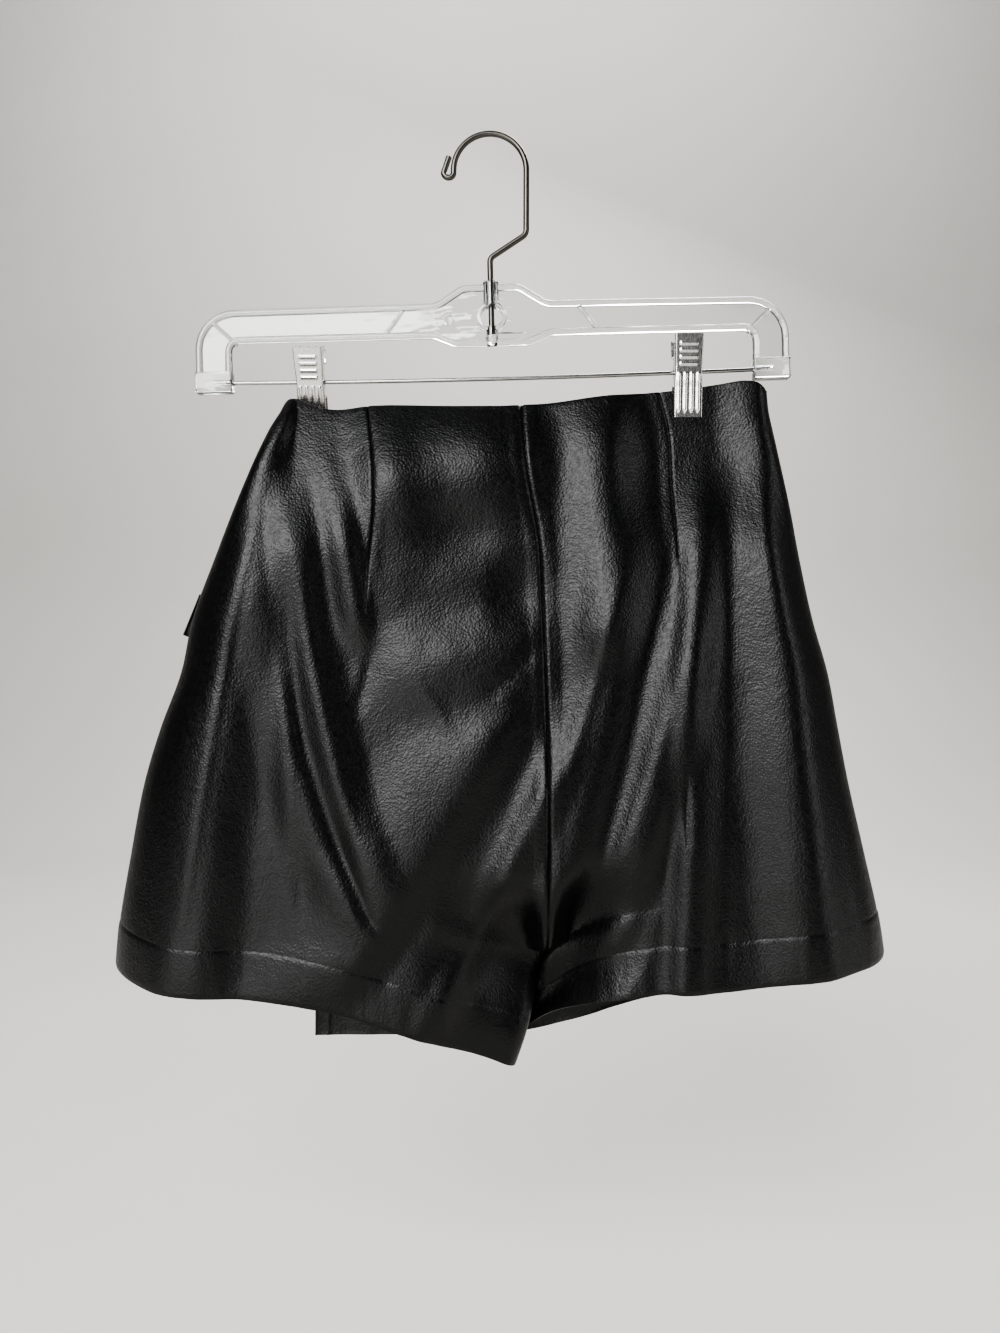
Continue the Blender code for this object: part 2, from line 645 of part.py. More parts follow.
def make_hanger(plastic, dark_wire, steel, collection, cutters):
    outer, inner = bar_lines()
    frame = as_mesh(flat_plate("hanger_frame", outer + inner[::-1], WEB, plastic, collection))
    parts = []
    for name, line in (("outer_bead", outer), ("inner_bead", inner)):
        bead = [(x, 0.0, z) for x, z in line]
        parts.append(as_mesh(wire(name, bead, BEAD, plastic, collection, facets=1)))
    for side in (-1, 1):
        for name, start, finish in (("corner_rib", (167.4, 0.8), (153.0, -12.8)),
                                    ("arm_rib", (51.0, 7.5), (64.5, -9.9))):
            ends = [(side * x, 0.0, z) for x, z in (start, finish)]
            parts.append(as_mesh(wire(f"{name}_{side}", ends, 3.4, plastic, collection, facets=1)))
        parts.append(block(f"socket_{side}", SOCKET, (side * SOCKET_X, 0.0, ROD_LEVEL),
                           plastic, collection))
    parts.append(rod_shape("hub_ring", 9.0, 5.6, (0, 0, 0), "y", plastic, collection, 24))
    parts.append(rod_shape("upper_boss", 4.7, 15.3, (0, 0, 13.2), "z", plastic, collection, 18))
    parts.append(rod_shape("lower_boss", 3.7, 10.9, (0, 0, -11.1), "z", plastic, collection, 14))
    for part in parts:
        join_or_cut(frame, part, "UNION", cutters)
    holes = [rod_shape("hub_hole", 6.6, 12.0, (0, 0, 0), "y", plastic, collection, 20),
             rod_shape("hook_bore", HOOK_WIRE / 2 + FIT, 40.0, (0, 0, 8.7), "z", plastic,
                       collection, 12)]
    for side in (-1, 1):
        holes.append(rod_shape(f"rod_bore_{side}", ROD / 2 + FIT, 20.0,
                               (side * (ROD_REACH - 8.0), 0.0, ROD_LEVEL), "x", plastic,
                               collection, 12))
    for hole in holes:
        join_or_cut(frame, hole, "DIFFERENCE", cutters)
    for thing in [frame, *parts, *holes]:
        on_hanger(thing)
    make_hook(dark_wire, collection)
    stations = [ROD_REACH * (step / 6 - 1) for step in range(13)]
    rod = [(hang(x, rod_height(x))[0], 0.0, hang(x, rod_height(x))[1]) for x in stations]
    wire("hanger_rod", rod, ROD, steel, collection)


def make_hook(look, collection):
    """Bent wire: a round crown, a cranked neck over the hub and a turned-back end."""
    top = HOOK_WIRE / 2
    centre = Vector((0.9, top - HOOK_RADIUS))
    crown = [centre + HOOK_RADIUS * Vector((math.cos(angle), math.sin(angle)))
             for angle in (math.radians(step) for step in range(0, 181, 12))]
    turn = crown[-1] + Vector((-3.0, -1.6))
    curl = [turn + 3.0 * Vector((math.cos(angle), math.sin(angle)))
            for angle in (math.radians(step) for step in range(0, -181, -36))]
    tip = curl[-1] + Vector((3.2, 9.4))
    neck = rounded([(*hang(0.0, -10.7), 0.0), (*hang(0.0, 35.3), 4.5), (22.6, -58.6, 5.0),
                    (crown[0].x, crown[0].y, 0.0)], 4)
    line = neck[:-1] + [tuple(point) for point in crown + curl[1:]] + [tuple(tip)]
    wire("hanger_hook", [(x, 0.0, z) for x, z in line], HOOK_WIRE, look, collection)


# ---------------------------------------------------------------- clips
JAW = (
    # height from the rod, depth of the outer face, half width, depth of the side flanges
    (20.6, 9.4, 8.4, 1.6), (13.0, 8.3, 8.4, 1.8), (7.0, 7.4, 8.2, 4.2), (3.2, 6.8, 8.0, 8.4),
    (-3.2, 6.1, 8.0, 8.4), (-6.5, 5.8, 8.2, 3.8), (-9.5, 5.4, 8.4, 1.4), (-16.0, 4.8, 8.4, 1.0),
    (-24.0, 4.2, 8.4, 0.5), (-27.7, 3.8, 8.4, 0.3),
)
FLUTES = 4
FLUTE_DEPTH = 0.45


def jaw_section(row, inset):
    """Across a jaw: flange, rounded edge, fluted plate, rounded edge, flange."""
    height, depth, half, flange = row
    half -= inset if flange > 3 else 0.0
    fluted = FLUTE_DEPTH if height < 2.0 and height > -26.0 else 0.0
    right = [(half, depth - 0.7 - flange), (half, depth - 0.7), (half - 0.9, depth)]
    plate = []
    for step in range(2 * FLUTES - 1):
        x = (half - 2.2) * (1 - 2 * step / (2 * FLUTES - 2))
        plate.append((x, depth - (0.0 if step % 2 else fluted)))
    return right + plate + [(-x, y) for x, y in right[::-1]]


def make_jaw(name, side, facing, look, collection, cutters):
    """A stamped jaw with a flange on each side that turns on the rod."""
    inset = 0.0 if facing < 0 else CLIP_SHEET + FIT
    sections = [[(x, facing * y, row[0]) for x, y in jaw_section(row, inset)] for row in JAW]
    jaw = cloth_grid(name, list(range(len(sections[0]))), list(range(len(sections))),
                     lambda column, row: Vector(sections[row][column]) * MM,
                     look, collection, flip=facing > 0, thickness=CLIP_SHEET)
    hole = rod_shape(f"{name}_hole", ROD / 2 + 2 * FIT, 40.0, (0, 0, 0), "x", look, collection, 12)
    join_or_cut(jaw, hole, "DIFFERENCE", cutters)
    for thing in (jaw, hole):
        on_clip(thing, side)


def on_clip(thing, side):
    """Puts a solid made about the rod into its clip's place and swing."""
    x, z = clip_place(side)
    thing.matrix_world = (Matrix.Translation(Vector((x, 0.0, z)) * MM)
                          @ Matrix.Rotation(CLIPS[side]["pitch"], 4, "X") @ thing.matrix_world)


def make_spring(name, side, look, collection):
    """Torsion spring wound on the rod, its two legs pressing the jaws' tops apart."""
    turns, steps, radius, pitch = 3.5, 8, 2.7, 1.35
    coil = []
    for step in range(int(turns * steps) + 1):
        angle = 2 * math.pi * step / steps
        x = pitch * (step / steps - turns / 2)
        coil.append((x, radius * math.cos(angle), -radius * math.sin(angle)))
    reach = 11.0
    lean = 0.115
    back = (coil[0][0], 6.2 + lean * reach - SPRING_SEAT, reach)
    front = (coil[-1][0], -(6.2 + lean * reach - SPRING_SEAT), reach)
    spring = wire(name, [back, *coil, front], SPRING_WIRE, look, collection, facets=1)
    on_clip(spring, side)


def make_clips(chrome, steel, collection, cutters):
    for side in CLIPS:
        make_jaw(f"clip_{side}_front_jaw", side, -1, chrome, collection, cutters)
        make_jaw(f"clip_{side}_back_jaw", side, 1, chrome, collection, cutters)
        make_spring(f"clip_{side}_spring", side, steel, collection)


def main():
    for old in list(bpy.data.objects):
        bpy.data.objects.remove(old)
    collection = new_collection(COLLECTION)
    cutters = new_collection("cutters")
    cloth = material("coated_cloth_black", (0.006, 0.006, 0.007), 0.42)
    plastic = material("clear_styrene", (0.92, 0.93, 0.92), 0.06, transmission=0.9)
    dark_wire = material("dark_nickel_wire", (0.16, 0.16, 0.16), 0.3, metallic=1.0)
    steel = material("steel_rod", (0.55, 0.55, 0.55), 0.22, metallic=1.0)
    chrome = material("chromed_steel_sheet", (0.75, 0.75, 0.76), 0.12, metallic=1.0)
    make_skort(cloth, collection)
    make_hanger(plastic, dark_wire, steel, collection, cutters)
    make_clips(chrome, steel, collection, cutters)


main()
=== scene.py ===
# %% [markdown]
# # A wrap skort of coated cloth on a clip hanger
# The skort hangs by its waist, its back towards us. The cloth is a polyester knit with a black
# polyurethane skin, so it folds in broad soft ridges and shines where a fold faces the light.
# The hanger is a clear moulded bar with a wire hook, a steel rod and two sprung clips.
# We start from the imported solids, which fix every size, and lay finer pieces on them. Lengths
# below are in millimetres where nothing else is said, and angles in radians.

# %% Load the fixed frame and measure it
import math

import bmesh
import bpy
from mathutils import Matrix, Vector, noise


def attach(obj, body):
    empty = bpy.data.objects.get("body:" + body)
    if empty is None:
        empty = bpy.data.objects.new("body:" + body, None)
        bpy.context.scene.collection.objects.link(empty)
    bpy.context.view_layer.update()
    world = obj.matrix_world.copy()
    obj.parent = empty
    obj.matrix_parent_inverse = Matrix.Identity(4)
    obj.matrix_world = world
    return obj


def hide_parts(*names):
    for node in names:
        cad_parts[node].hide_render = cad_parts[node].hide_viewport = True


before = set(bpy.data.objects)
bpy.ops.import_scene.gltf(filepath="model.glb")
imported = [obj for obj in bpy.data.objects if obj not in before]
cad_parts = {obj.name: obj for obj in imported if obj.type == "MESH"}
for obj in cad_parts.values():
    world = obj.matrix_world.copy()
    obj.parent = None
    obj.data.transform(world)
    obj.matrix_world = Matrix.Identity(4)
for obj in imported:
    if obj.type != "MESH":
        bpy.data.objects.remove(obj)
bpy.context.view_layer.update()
MM = 0.001

# %% [markdown]
# ## Tools for the materials
# Colours are picked as sRGB hex values, but Blender's sockets want linear light, so one function
# turns them over. One function adds a shader node with its settings and links. The others use
# it for what every material here does: start with object coordinates, make a noise pattern,
# run the colour between two tones, and raise a pattern as relief.

# %% Colours and nodes
def linear(colour):
    """'#rrggbb' as linear red, green, blue and alpha."""
    values = [int(colour[index:index + 2], 16) / 255 for index in (1, 3, 5)]
    return [v / 12.92 if v <= 0.04045 else ((v + 0.055) / 1.055) ** 2.4 for v in values] + [1.0]


def add_node(tree, kind, settings=None, links=None):
    """A node of a kind, with its settings by socket or property name, and what feeds it."""
    node = tree.nodes.new(kind)
    for name, value in (settings or {}).items():
        if isinstance(name, int) or name in node.inputs:
            node.inputs[name].default_value = value
        else:
            setattr(node, name, value)
    for name, source in (links or {}).items():
        tree.links.new(source, node.inputs[name])
    return node


def start_material(name, **settings):
    """A Principled material with its sockets set, and object coordinates to lay patterns on."""
    made = bpy.data.materials.new(name)
    made.use_nodes = True
    tree = made.node_tree
    for socket, value in settings.items():
        tree.nodes["Principled BSDF"].inputs[socket.replace("_", " ")].default_value = value
    return made, tree, add_node(tree, "ShaderNodeTexCoord").outputs["Object"]


def feed(tree, source, socket):
    tree.links.new(source, tree.nodes["Principled BSDF"].inputs[socket])


def cloudy(tree, place, scale, detail, **settings):
    """A noise pattern."""
    return add_node(tree, "ShaderNodeTexNoise", {"Scale": scale, "Detail": detail, **settings},
                    {"Vector": place}).outputs[0]


def run_tones(tree, dark, light, pattern):
    """A base colour that runs from one tone to the other with a pattern."""
    tone = add_node(tree, "ShaderNodeMix", {"data_type": "RGBA", 6: linear(dark),
                                            7: linear(light)}, {0: pattern})
    feed(tree, tone.outputs[2], "Base Color")


def emboss(tree, pattern, strength, height):
    """Relief, in metres, laid over the relief that the material has so far."""
    under = tree.nodes["Principled BSDF"].inputs["Normal"].links
    links = {"Height": pattern, **({"Normal": under[0].from_socket} if under else {})}
    raised = add_node(tree, "ShaderNodeBump", {"Strength": strength, "Distance": height}, links)
    feed(tree, raised.outputs[0], "Normal")


# %% [markdown]
# ## Tools for the meshes
# A shape is drafted as a bmesh or a curve and then kept as a mesh. A finished mesh becomes a
# piece: it rides on the part, takes its materials and stands in for one of its solids, which is
# hidden.

# %% Meshes and pieces
def place_object(name, data):
    made = bpy.data.objects.new(name, data)
    bpy.context.scene.collection.objects.link(made)
    return made


def mesh_of(shape, name):
    mesh = bpy.data.meshes.new(name)
    shape.to_mesh(mesh)
    shape.free()
    return mesh


def grid_mesh(name, grid, flip):
    """Rows of points in metres as one sheet of quads."""
    shape = bmesh.new()
    verts = [[shape.verts.new(point) for point in row] for row in grid]
    for first, second in zip(verts, verts[1:]):
        for index in range(len(first) - 1):
            corner = [first[index], first[index + 1], second[index + 1], second[index]]
            shape.faces.new(corner[::-1] if flip else corner)
    return mesh_of(shape, name)


def finished(holder, *tools):
    """The mesh of an object with its modifiers or its bevel; the objects themselves go."""
    bpy.context.view_layer.update()
    done = bpy.data.meshes.new_from_object(
        holder.evaluated_get(bpy.context.evaluated_depsgraph_get()))
    for used in (holder, *tools):
        bpy.data.objects.remove(used)
    return done


def add_piece(name, mesh, slot, *looks, node=None):
    piece = place_object(name, mesh)
    piece.data.materials.clear()
    for look in looks:
        piece.data.materials.append(look)
    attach(piece, "root")
    if node:
        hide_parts(node)
    return piece


# %% [markdown]
# ## The coated cloth
# Polyurethane is cast on release paper, which presses a fine pebble grain into it, and is then
# bonded to a knit. The skin is nearly black, and its gloss changes a little over fine crinkles.
# That gives the eye a soft, slightly sparkling sheen instead of a mirror.
# Real pebbles are 0.6 mm wide. They are drawn 1.3 mm wide here, because finer ones vanish in
# a picture of the whole garment.

# %% Polyurethane skin, cast on embossed paper
PEBBLE, CRINKLE, SOFT_DENT = 1.3, 1.8 * 1.3, 9.0
WEAR_SCALE = 22.0


def cast_polyurethane():
    made, tree, place = start_material("cast_polyurethane_skin", Roughness=0.38, IOR=1.5,
                                       Specular_IOR_Level=0.5)
    pebbles = add_node(tree, "ShaderNodeTexVoronoi",
                       {"feature": "SMOOTH_F1", "Scale": 1000 / PEBBLE, "Smoothness": 0.6},
                       {"Vector": place})
    crinkle = cloudy(tree, place, 1000 / CRINKLE, 2.0, Roughness=0.55)
    run_tones(tree, "#030304", "#08090a", cloudy(tree, place, WEAR_SCALE, 4.0))
    shine = add_node(tree, "ShaderNodeMapRange", {"From Min": 0.3, "From Max": 0.7,
                                                  "To Min": 0.34, "To Max": 0.46},
                     {"Value": crinkle})
    feed(tree, shine.outputs[0], "Roughness")
    emboss(tree, pebbles.outputs["Distance"], 0.9, 0.00021)
    emboss(tree, crinkle, 0.5, 0.00011)
    emboss(tree, cloudy(tree, place, 1000 / SOFT_DENT, 2.0), 0.5, 0.0007)
    return made


skin = cast_polyurethane()
print("skin: pebbles of", PEBBLE, "mm on dents of", SOFT_DENT, "mm")

# %% [markdown]
# ## The inside of the cloth, and its thread
# The back of the skin is a brushed polyester knit, dull and a shade lighter, which shows inside
# the leg openings. The hems are sewn with a black polyester core thread. Its twisted, shiny
# strands catch the light as a row of small dots, so each stitch is its own little form.

# %% Brushed knit and sewing thread
KNIT_LOOP = 1.1


def brushed_knit():
    made, tree, place = start_material("brushed_polyester_knit", Roughness=0.9)
    loops = add_node(tree, "ShaderNodeTexWave",
                     {"bands_direction": "X", "Scale": 1000 / (KNIT_LOOP * 2 * math.pi),
                      "Distortion": 1.5, "Detail": 2.0}, {"Vector": place})
    run_tones(tree, "#141416", "#26262a", cloudy(tree, place, 900.0, 4.0))
    emboss(tree, loops.outputs[0], 0.6, 0.0003)
    return made


def spun_thread():
    made, tree, place = start_material("spun_polyester_thread", Roughness=0.42)
    strands = cloudy(tree, place, 1500.0, 2.0)
    run_tones(tree, "#0d0d0f", "#2b2c30", strands)
    emboss(tree, strands, 0.5, 0.0001)
    return made


knit = brushed_knit()
thread = spun_thread()
print("knit loops of", KNIT_LOOP, "mm")

# %% [markdown]
# ## The form of the skort
# The solids were made from short tables of lengths in millimetres: the outline from the waist
# to the hem, and the depth of the back and the front. The finer cloth has to keep their
# outline, seams and hems, so the same tables and functions are written here again.
# X in a table is where a line shows in the hanger's plane from the eye, so `out_to_depth`
# carries it along its sight line to the depth of the cloth.

# %% Sizes of the cloth
WALL, LAYER_GAP, SEAM_GAP = 1.2, 0.5, 0.4
SIDE_SEAM = math.radians(20.0)
STACK_SHIFT = -0.85
EYE = (6.9, -600.0, -318.0)
TILT = math.radians(1.5)
HUB = (1.8, -108.3)
ROD_LEVEL, ROD_SAG, ROD_REACH, ROD = -35.4, 1.8, 166.0, 2.5
TIP_BELOW_ROD = 27.7
CLIPS = {
    "left": {"x": -109.0, "pitch": math.radians(20.0), "opens": (8.8, 14.5)},
    "right": {"x": 116.4, "pitch": 0.0, "opens": (14.0, 40.0)},
}
LEVEL_OUT = 45.0
BACK, FRONT, FOLD = 3, 4, 5

# %% Outline, waist, seams and hems
SECTIONS = (
    # z, left, right, back, front, fold
    (-154, -121, 165.3, 5, 4.5, 5),
    (-165, -122.5, 166.5, 6, 5, 6),
    (-180, -131, 170, 8.5, 6.5, 9),
    (-218, -148.5, 178.8, 14, 9, 15),
    (-254, -163, 185.6, 19, 12, 19),
    (-290, -176.5, 193.4, 23.5, 14.5, 22),
    (-322, -183.5, 202.5, 27, 16.5, 24),
    (-354, -195.5, 208.5, 30, 18.5, 26),
    (-386, -205.2, 214.6, 32.5, 20, 28),
    (-432, -214, 225, 35.5, 22, 30),
    (-471, -220.5, 233.6, 37.5, 23, 31),
    (-500, -223, 237.6, 38.5, 23.5, 32),
)
WAIST = (
    # x, z
    (-123, -163.5), (-120, -160.6), (-115, -160), (-108, -163), (-95, -166.8),
    (-72, -165.4), (7, -165), (19, -164.2), (43, -161.8), (72, -157.8),
    (101, -154.6), (120, -152.4), (140, -149.6), (154, -148.2), (161, -149.2),
    (165.3, -152),
)
CENTRE_BACK = (
    # z, x
    (-164, 19.5), (-204, 23.1), (-245, 30.4), (-285, 32.7),
    (-345, 35.1), (-395, 36.3), (-487, 35.7),
)
SEAM_TOP = (19.5, -164.2)
CROTCH, CROTCH_CURVE = -487, 46
LEGS = {
    "left": {
        "inseam": ((-487, 35.7), (-495, 30.6), (-523, 24.5), (-549, 15.5)),
        "inseam_depth": -17,
        "hem": (
            (-223, -494.5), (-204, -498.5), (-178, -500.9), (-126, -504.9),
            (-90, -511), (-52, -522.9), (-25, -532.4), (-6, -539.5), (15.5, -549),
        ),
        "dart": ((-165.3, -72.3), (-205, -69.5), (-234, -69.3), (-270, -72.5),
                 (-560, -74)),
        "dart_end": -300,
    },
    "right": {
        "inseam": ((-487, 35.7), (-495, 31.4), (-515, 28), (-541, 14)),
        "inseam_depth": 11,
        "hem": (
            (14, -541), (24, -533), (40.5, -521), (66, -509.5), (93, -504),
            (110, -501.6), (144, -501), (188, -495), (211, -492.5), (237.6, -490),
        ),
        "dart": ((-154.5, 101.1), (-185, 108.3), (-216, 110.1), (-255, 113.1),
                 (-560, 122)),
        "dart_end": -278,
    },
}
INSEAM_GAP, INSEAM_EDGE, INSEAM_RUN = 0.5, 7, 72
WRAP_EDGE = ((-158, -104), (-300, -104), (-547, -104.7))
WRAP_HEM = (
    (-104.7, -547), (-63, -546.5), (22, -545.5), (49, -539), (91, -527),
    (144, -515), (211, -500), (237.6, -490.5),
)
WRAP_AIR = 2.6

# %% [markdown]
# ## Where the cloth folds
# A fold is a line with a height: a table gives the top, bend and foot of its crest, how high
# it stands, and how far it runs out to each side. A short run-out on one side and a long one on
# the other make the sharp edge that a coated cloth shows. The solids have simpler folds that
# lie about a centimetre away from these, because these were moved to suit the light.
# Seat and hip also swell and sink in ways that no line describes. These are mounds: soft bells
# with a half width, a half height and a rise, or a fall. From the hip to a little above the hem
# the whole back then lies `BACK_EASE` nearer the wall, so that its mean depth stays near the
# solids'.

# %% Large folds
BACK_FOLDS = (
    # name, top, bend, foot, height, left, right
    ("left_edge", (-138, -190), (-160, -326), (-184, -560), 8.2, 46, 36),
    ("hip_swell", (-131, -225), (-120, -360), (-72, -490), 4.6, 26, 13),
    ("hip_ridge", (-120, -168), (-102, -344), (-56, -480), 6, 18, 24),
    ("clip_ridge", (-104, -150), (-90, -228), (-76, -314), 4.8, 16, 14),
    ("thigh_swell", (24, -315), (-24, -400), (-110, -535), 7, 56, 28),
    ("cross_ridge", (54, -345), (17, -432), (-42, -555), 5.6, 18, 20),
    ("seat_right", (63, -140), (70, -214), (66, -330), 7, 32, 34),
    ("seat_ridge", (93, -205), (76, -312), (30, -500), 6, 34, 24),
    ("right_thigh", (124, -250), (109, -362), (40, -545), 7.4, 27, 22),
    ("dart_strip", (128, -150), (125, -330), (118, -580), 6, 18, 22),
    ("right_swell", (170, -170), (184, -320), (202, -560), 9.5, 42, 28),
)
FRONT_FOLDS = (
    ("wrap_edge_roll", (-108, -200), (-98, -360), (-88, -560), 3.5, 18, 26),
    ("wrap_trough", (-84, -190), (-62, -340), (-48, -560), -4, 24, 24),
    ("wrap_ridge", (-52, -185), (-16, -330), (6, -560), 5, 30, 26),
    ("wrap_mid_trough", (14, -200), (40, -350), (58, -560), -4.5, 26, 26),
    ("wrap_right_ridge", (96, -172), (102, -330), (112, -560), 5, 30, 26),
    ("wrap_right_trough", (136, -185), (150, -330), (166, -560), -3.5, 20, 22),
)

# %% Finer creases
BACK_CREASES = (
    ("edge_sharp", (-139, -215), (-160, -322), (-188, -500), 1.2, 9, 6),
    ("fall_line", (-124, -240), (-121, -360), (-119, -500), 1, 9, 9),
    ("hip_sharp", (-115, -232), (-103, -330), (-74, -440), 1, 8, 8),
    ("sharp_end", (-92, -410), (-80, -446), (-66, -482), -1.3, 9, 5),
    ("cross_sharp", (44, -372), (16, -432), (-20, -520), 1.1, 9, 7),
    ("seat_tuck", (32, -300), (16, -320), (-4, -338), -1.7, 7, 6),
    ("seat_line", (-44, -328), (-32, -344), (-22, -362), 1, 5, 6),
    ("seat_lift", (26, -344), (6, -356), (-14, -366), 0.9, 6, 7),
    ("dart_end_dent", (-66, -300), (-72, -322), (-80, -350), -1, 7, 8),
    ("kink_ridge", (86, -246), (66, -318), (40, -404), 1.2, 9, 7),
    ("right_sharp", (118, -285), (106, -352), (66, -460), 1, 9, 8),
    ("thread_crease", (121, -372), (119, -400), (121, -432), -0.7, 3, 4),
    ("right_fall", (196, -230), (214, -330), (226, -450), -1.2, 12, 12),
    ("inseam_crumple", (34, -470), (42, -486), (56, -502), 0.7, 6, 6),
)
BACK_MOUNDS = (
    # x, z, half width, half height, rise of a soft mound
    (0, -195, 50, 48, 6),
    (-54, -208, 32, 38, 3.2),
    (-20, -238, 36, 28, -2.8),
    (20, -272, 28, 30, -2.8),
    (4, -312, 46, 38, 5.4),
    (-36, -318, 40, 42, 4.6),
)
BACK_EASE, EASE_RUNS = 4, ((-180, -320), (-480, -545))
FRONT_CREASES = (
    ("clip_pull_front", (-96, -178), (-70, -230), (-50, -300), 1.4, 9, 7),
    ("tie_pull", (-100, -290), (-40, -330), (20, -390), 1.8, 12, 8),
    ("tie_pull_low", (-100, -310), (-58, -372), (-20, -450), -1.5, 9, 9),
    ("hip_pull_front", (120, -180), (84, -250), (48, -340), 1.6, 11, 8),
    ("lap_crease", (150, -250), (132, -340), (120, -470), -1.4, 9, 9),
    ("front_dent", (10, -250), (30, -300), (44, -372), -1.3, 9, 10),
)
print(len(BACK_FOLDS) + len(FRONT_FOLDS), "large folds,",
      len(BACK_CREASES) + len(FRONT_CREASES), "fine creases")

# %% Reading tables and folds
def smooth(low, high, value):
    """0 below low, 1 above high, an S-curve between."""
    step = min(1.0, max(0.0, (value - low) / (high - low)))
    return step * step * (3.0 - 2.0 * step)


def read(rows, at, column=1):
    """Value of a table's column at a place along its first column, on a smooth curve."""
    if rows[0][0] > rows[-1][0]:
        rows = rows[::-1]
    at = min(max(at, rows[0][0]), rows[-1][0])
    index = 0
    while index < len(rows) - 2 and at > rows[index + 1][0]:
        index += 1
    before, start = rows[max(index - 1, 0)], rows[index]
    end, after = rows[index + 1], rows[min(index + 2, len(rows) - 1)]

    def slope(first, last):
        return (last[column] - first[column]) / (last[0] - first[0])

    run = end[0] - start[0]
    here = slope(start, end)
    leave = (slope(before, start) + here) / 2 if before is not start else here
    arrive = (slope(end, after) + here) / 2 if after is not end else here
    part = (at - start[0]) / run
    cube, square = part ** 3, part ** 2
    return (start[column] * (2 * cube - 3 * square + 1) + end[column] * (3 * square - 2 * cube)
            + run * (leave * (cube - 2 * square + part) + arrive * (cube - square)))


def out_to_depth(x, y):
    """X at depth y of a line that shows at x in the hanger's plane."""
    return EYE[0] + (x - EYE[0]) * (y - EYE[1]) / -EYE[1]


def as_seen(z, y):
    """Height in the hanger's plane at which a point at height z and depth y shows."""
    return EYE[2] + (z - EYE[2]) * -EYE[1] / (y - EYE[1])


def fold_height(folds, x, z):
    """Height of a table's folds at a place on the cloth."""
    total = 0.0
    for _, top, bend, foot, height, left, right in folds:
        span = top[1] - foot[1]
        part = (top[1] - z) / span
        if part <= 0.0 or part >= 1.0:
            continue
        at = (top[1] - bend[1]) / span
        crest = (top[0] * (part - at) * (part - 1) / at
                 + bend[0] * part * (part - 1) / (at * (at - 1))
                 + foot[0] * part * (part - at) / (1 - at))
        off = (x - crest) * math.cos(math.atan2(foot[0] - top[0], span))
        width = left if off < 0 else right
        if abs(off) >= width:
            continue
        ends = smooth(0.0, 0.28, part) * smooth(0.0, 0.2, 1.0 - part)
        total += height * ends * (1 + math.cos(math.pi * off / width)) / 2
    return total


def mound_height(mounds, x, z):
    """Height of a table's mounds, each a smooth bell."""
    total = 0.0
    for mound_x, mound_z, wide, tall, rise in mounds:
        away = math.hypot((x - mound_x) / wide, (z - mound_z) / tall)
        if away < 1.0:
            total += rise * (1 + math.cos(math.pi * away)) / 2
    return total


# %% Depth of the cloth, pressed by the clips
def hang(x, z):
    """X and Z in the part's frame of a place on the tilted hanger."""
    return (HUB[0] + x * math.cos(TILT) - z * math.sin(TILT),
            HUB[1] + x * math.sin(TILT) + z * math.cos(TILT))


def rod_height(x):
    return ROD_LEVEL - ROD_SAG * (1 - (x / ROD_REACH) ** 2)


def clip_place(side):
    """X and Z where a clip turns on the rod."""
    x = CLIPS[side]["x"]
    return hang(x, rod_height(x))


PLACES = {side: clip_place(side) for side in CLIPS}


def middle_layer(x, z):
    """Depth of the middle of the cloth: the left clip has swung out and takes it along."""
    rod_z = PLACES["left"][1]
    tip = rod_z - TIP_BELOW_ROD * math.cos(CLIPS["left"]["pitch"])
    below = min(max(tip - z, 0.0), LEVEL_OUT)
    level = below - below ** 2 / (2 * LEVEL_OUT)
    swung = math.tan(CLIPS["left"]["pitch"]) * (max(z, tip) - rod_z - level)
    settle = 1 - 0.65 * smooth(0.0, 150.0, tip - z)
    return swung * settle * (1 - smooth(-92.0, 90.0, x)) + STACK_SHIFT


def pinch(x, z):
    """1 where a clip presses the layers together, 0 where they hang free."""
    grip = 0.0
    for side, outward in (("left", -1), ("right", 1)):
        clip_x, rod_z = PLACES[side]
        tip = rod_z - TIP_BELOW_ROD * math.cos(CLIPS[side]["pitch"])
        off = (x - clip_x) * outward
        if off < 0:
            across = 1 - smooth(14.0, 48.0, -off)
        else:
            start, end = CLIPS[side]["opens"]
            across = 1 - 0.9 * smooth(start, end + 0.7 * max(0.0, tip - z), off)
        grip = max(grip, across * (1 - smooth(3.0, 85.0, tip - z)))
    return grip


def layer_depth(x, z, column, grip=None):
    """Distance of a face from the middle: from the table, or pressed flat by a clip."""
    pressed = WALL + 0.25
    free = read(SECTIONS, z, column)
    return free + (pressed - free) * (pinch(x, z) if grip is None else grip)


# %% [markdown]
# ## Fine wrinkles
# Coated cloth never lies perfectly even between its folds. Soft dents some 34 mm wide, finer
# ripples and short puckers along the stitched hem break up the shine. They come from Perlin
# noise, which gives the same answer every run. Each face takes its own slice through the
# noise, and the dents fade out where a clip presses.

# %% Dents and puckers
DENT_SIZE, DENT_HEIGHT, DENT_SLICE = 34.0, 0.85, 3.7
RIPPLE_SIZE, RIPPLE_HEIGHT, RIPPLE_SLICE = 13.0, 0.22, 11.3
PUCKER_SIZE, PUCKER_HEIGHT, PUCKER_SLICE = 7.5, 0.45, 5.1
HEM_BAND = 26.0


def dents(x, z, side):
    broad = noise.noise(Vector((x / DENT_SIZE, z / (1.5 * DENT_SIZE), DENT_SLICE * side)))
    fine = noise.noise(Vector((x / RIPPLE_SIZE, z / (1.8 * RIPPLE_SIZE),
                               RIPPLE_SLICE * side)))
    return DENT_HEIGHT * broad + RIPPLE_HEIGHT * fine


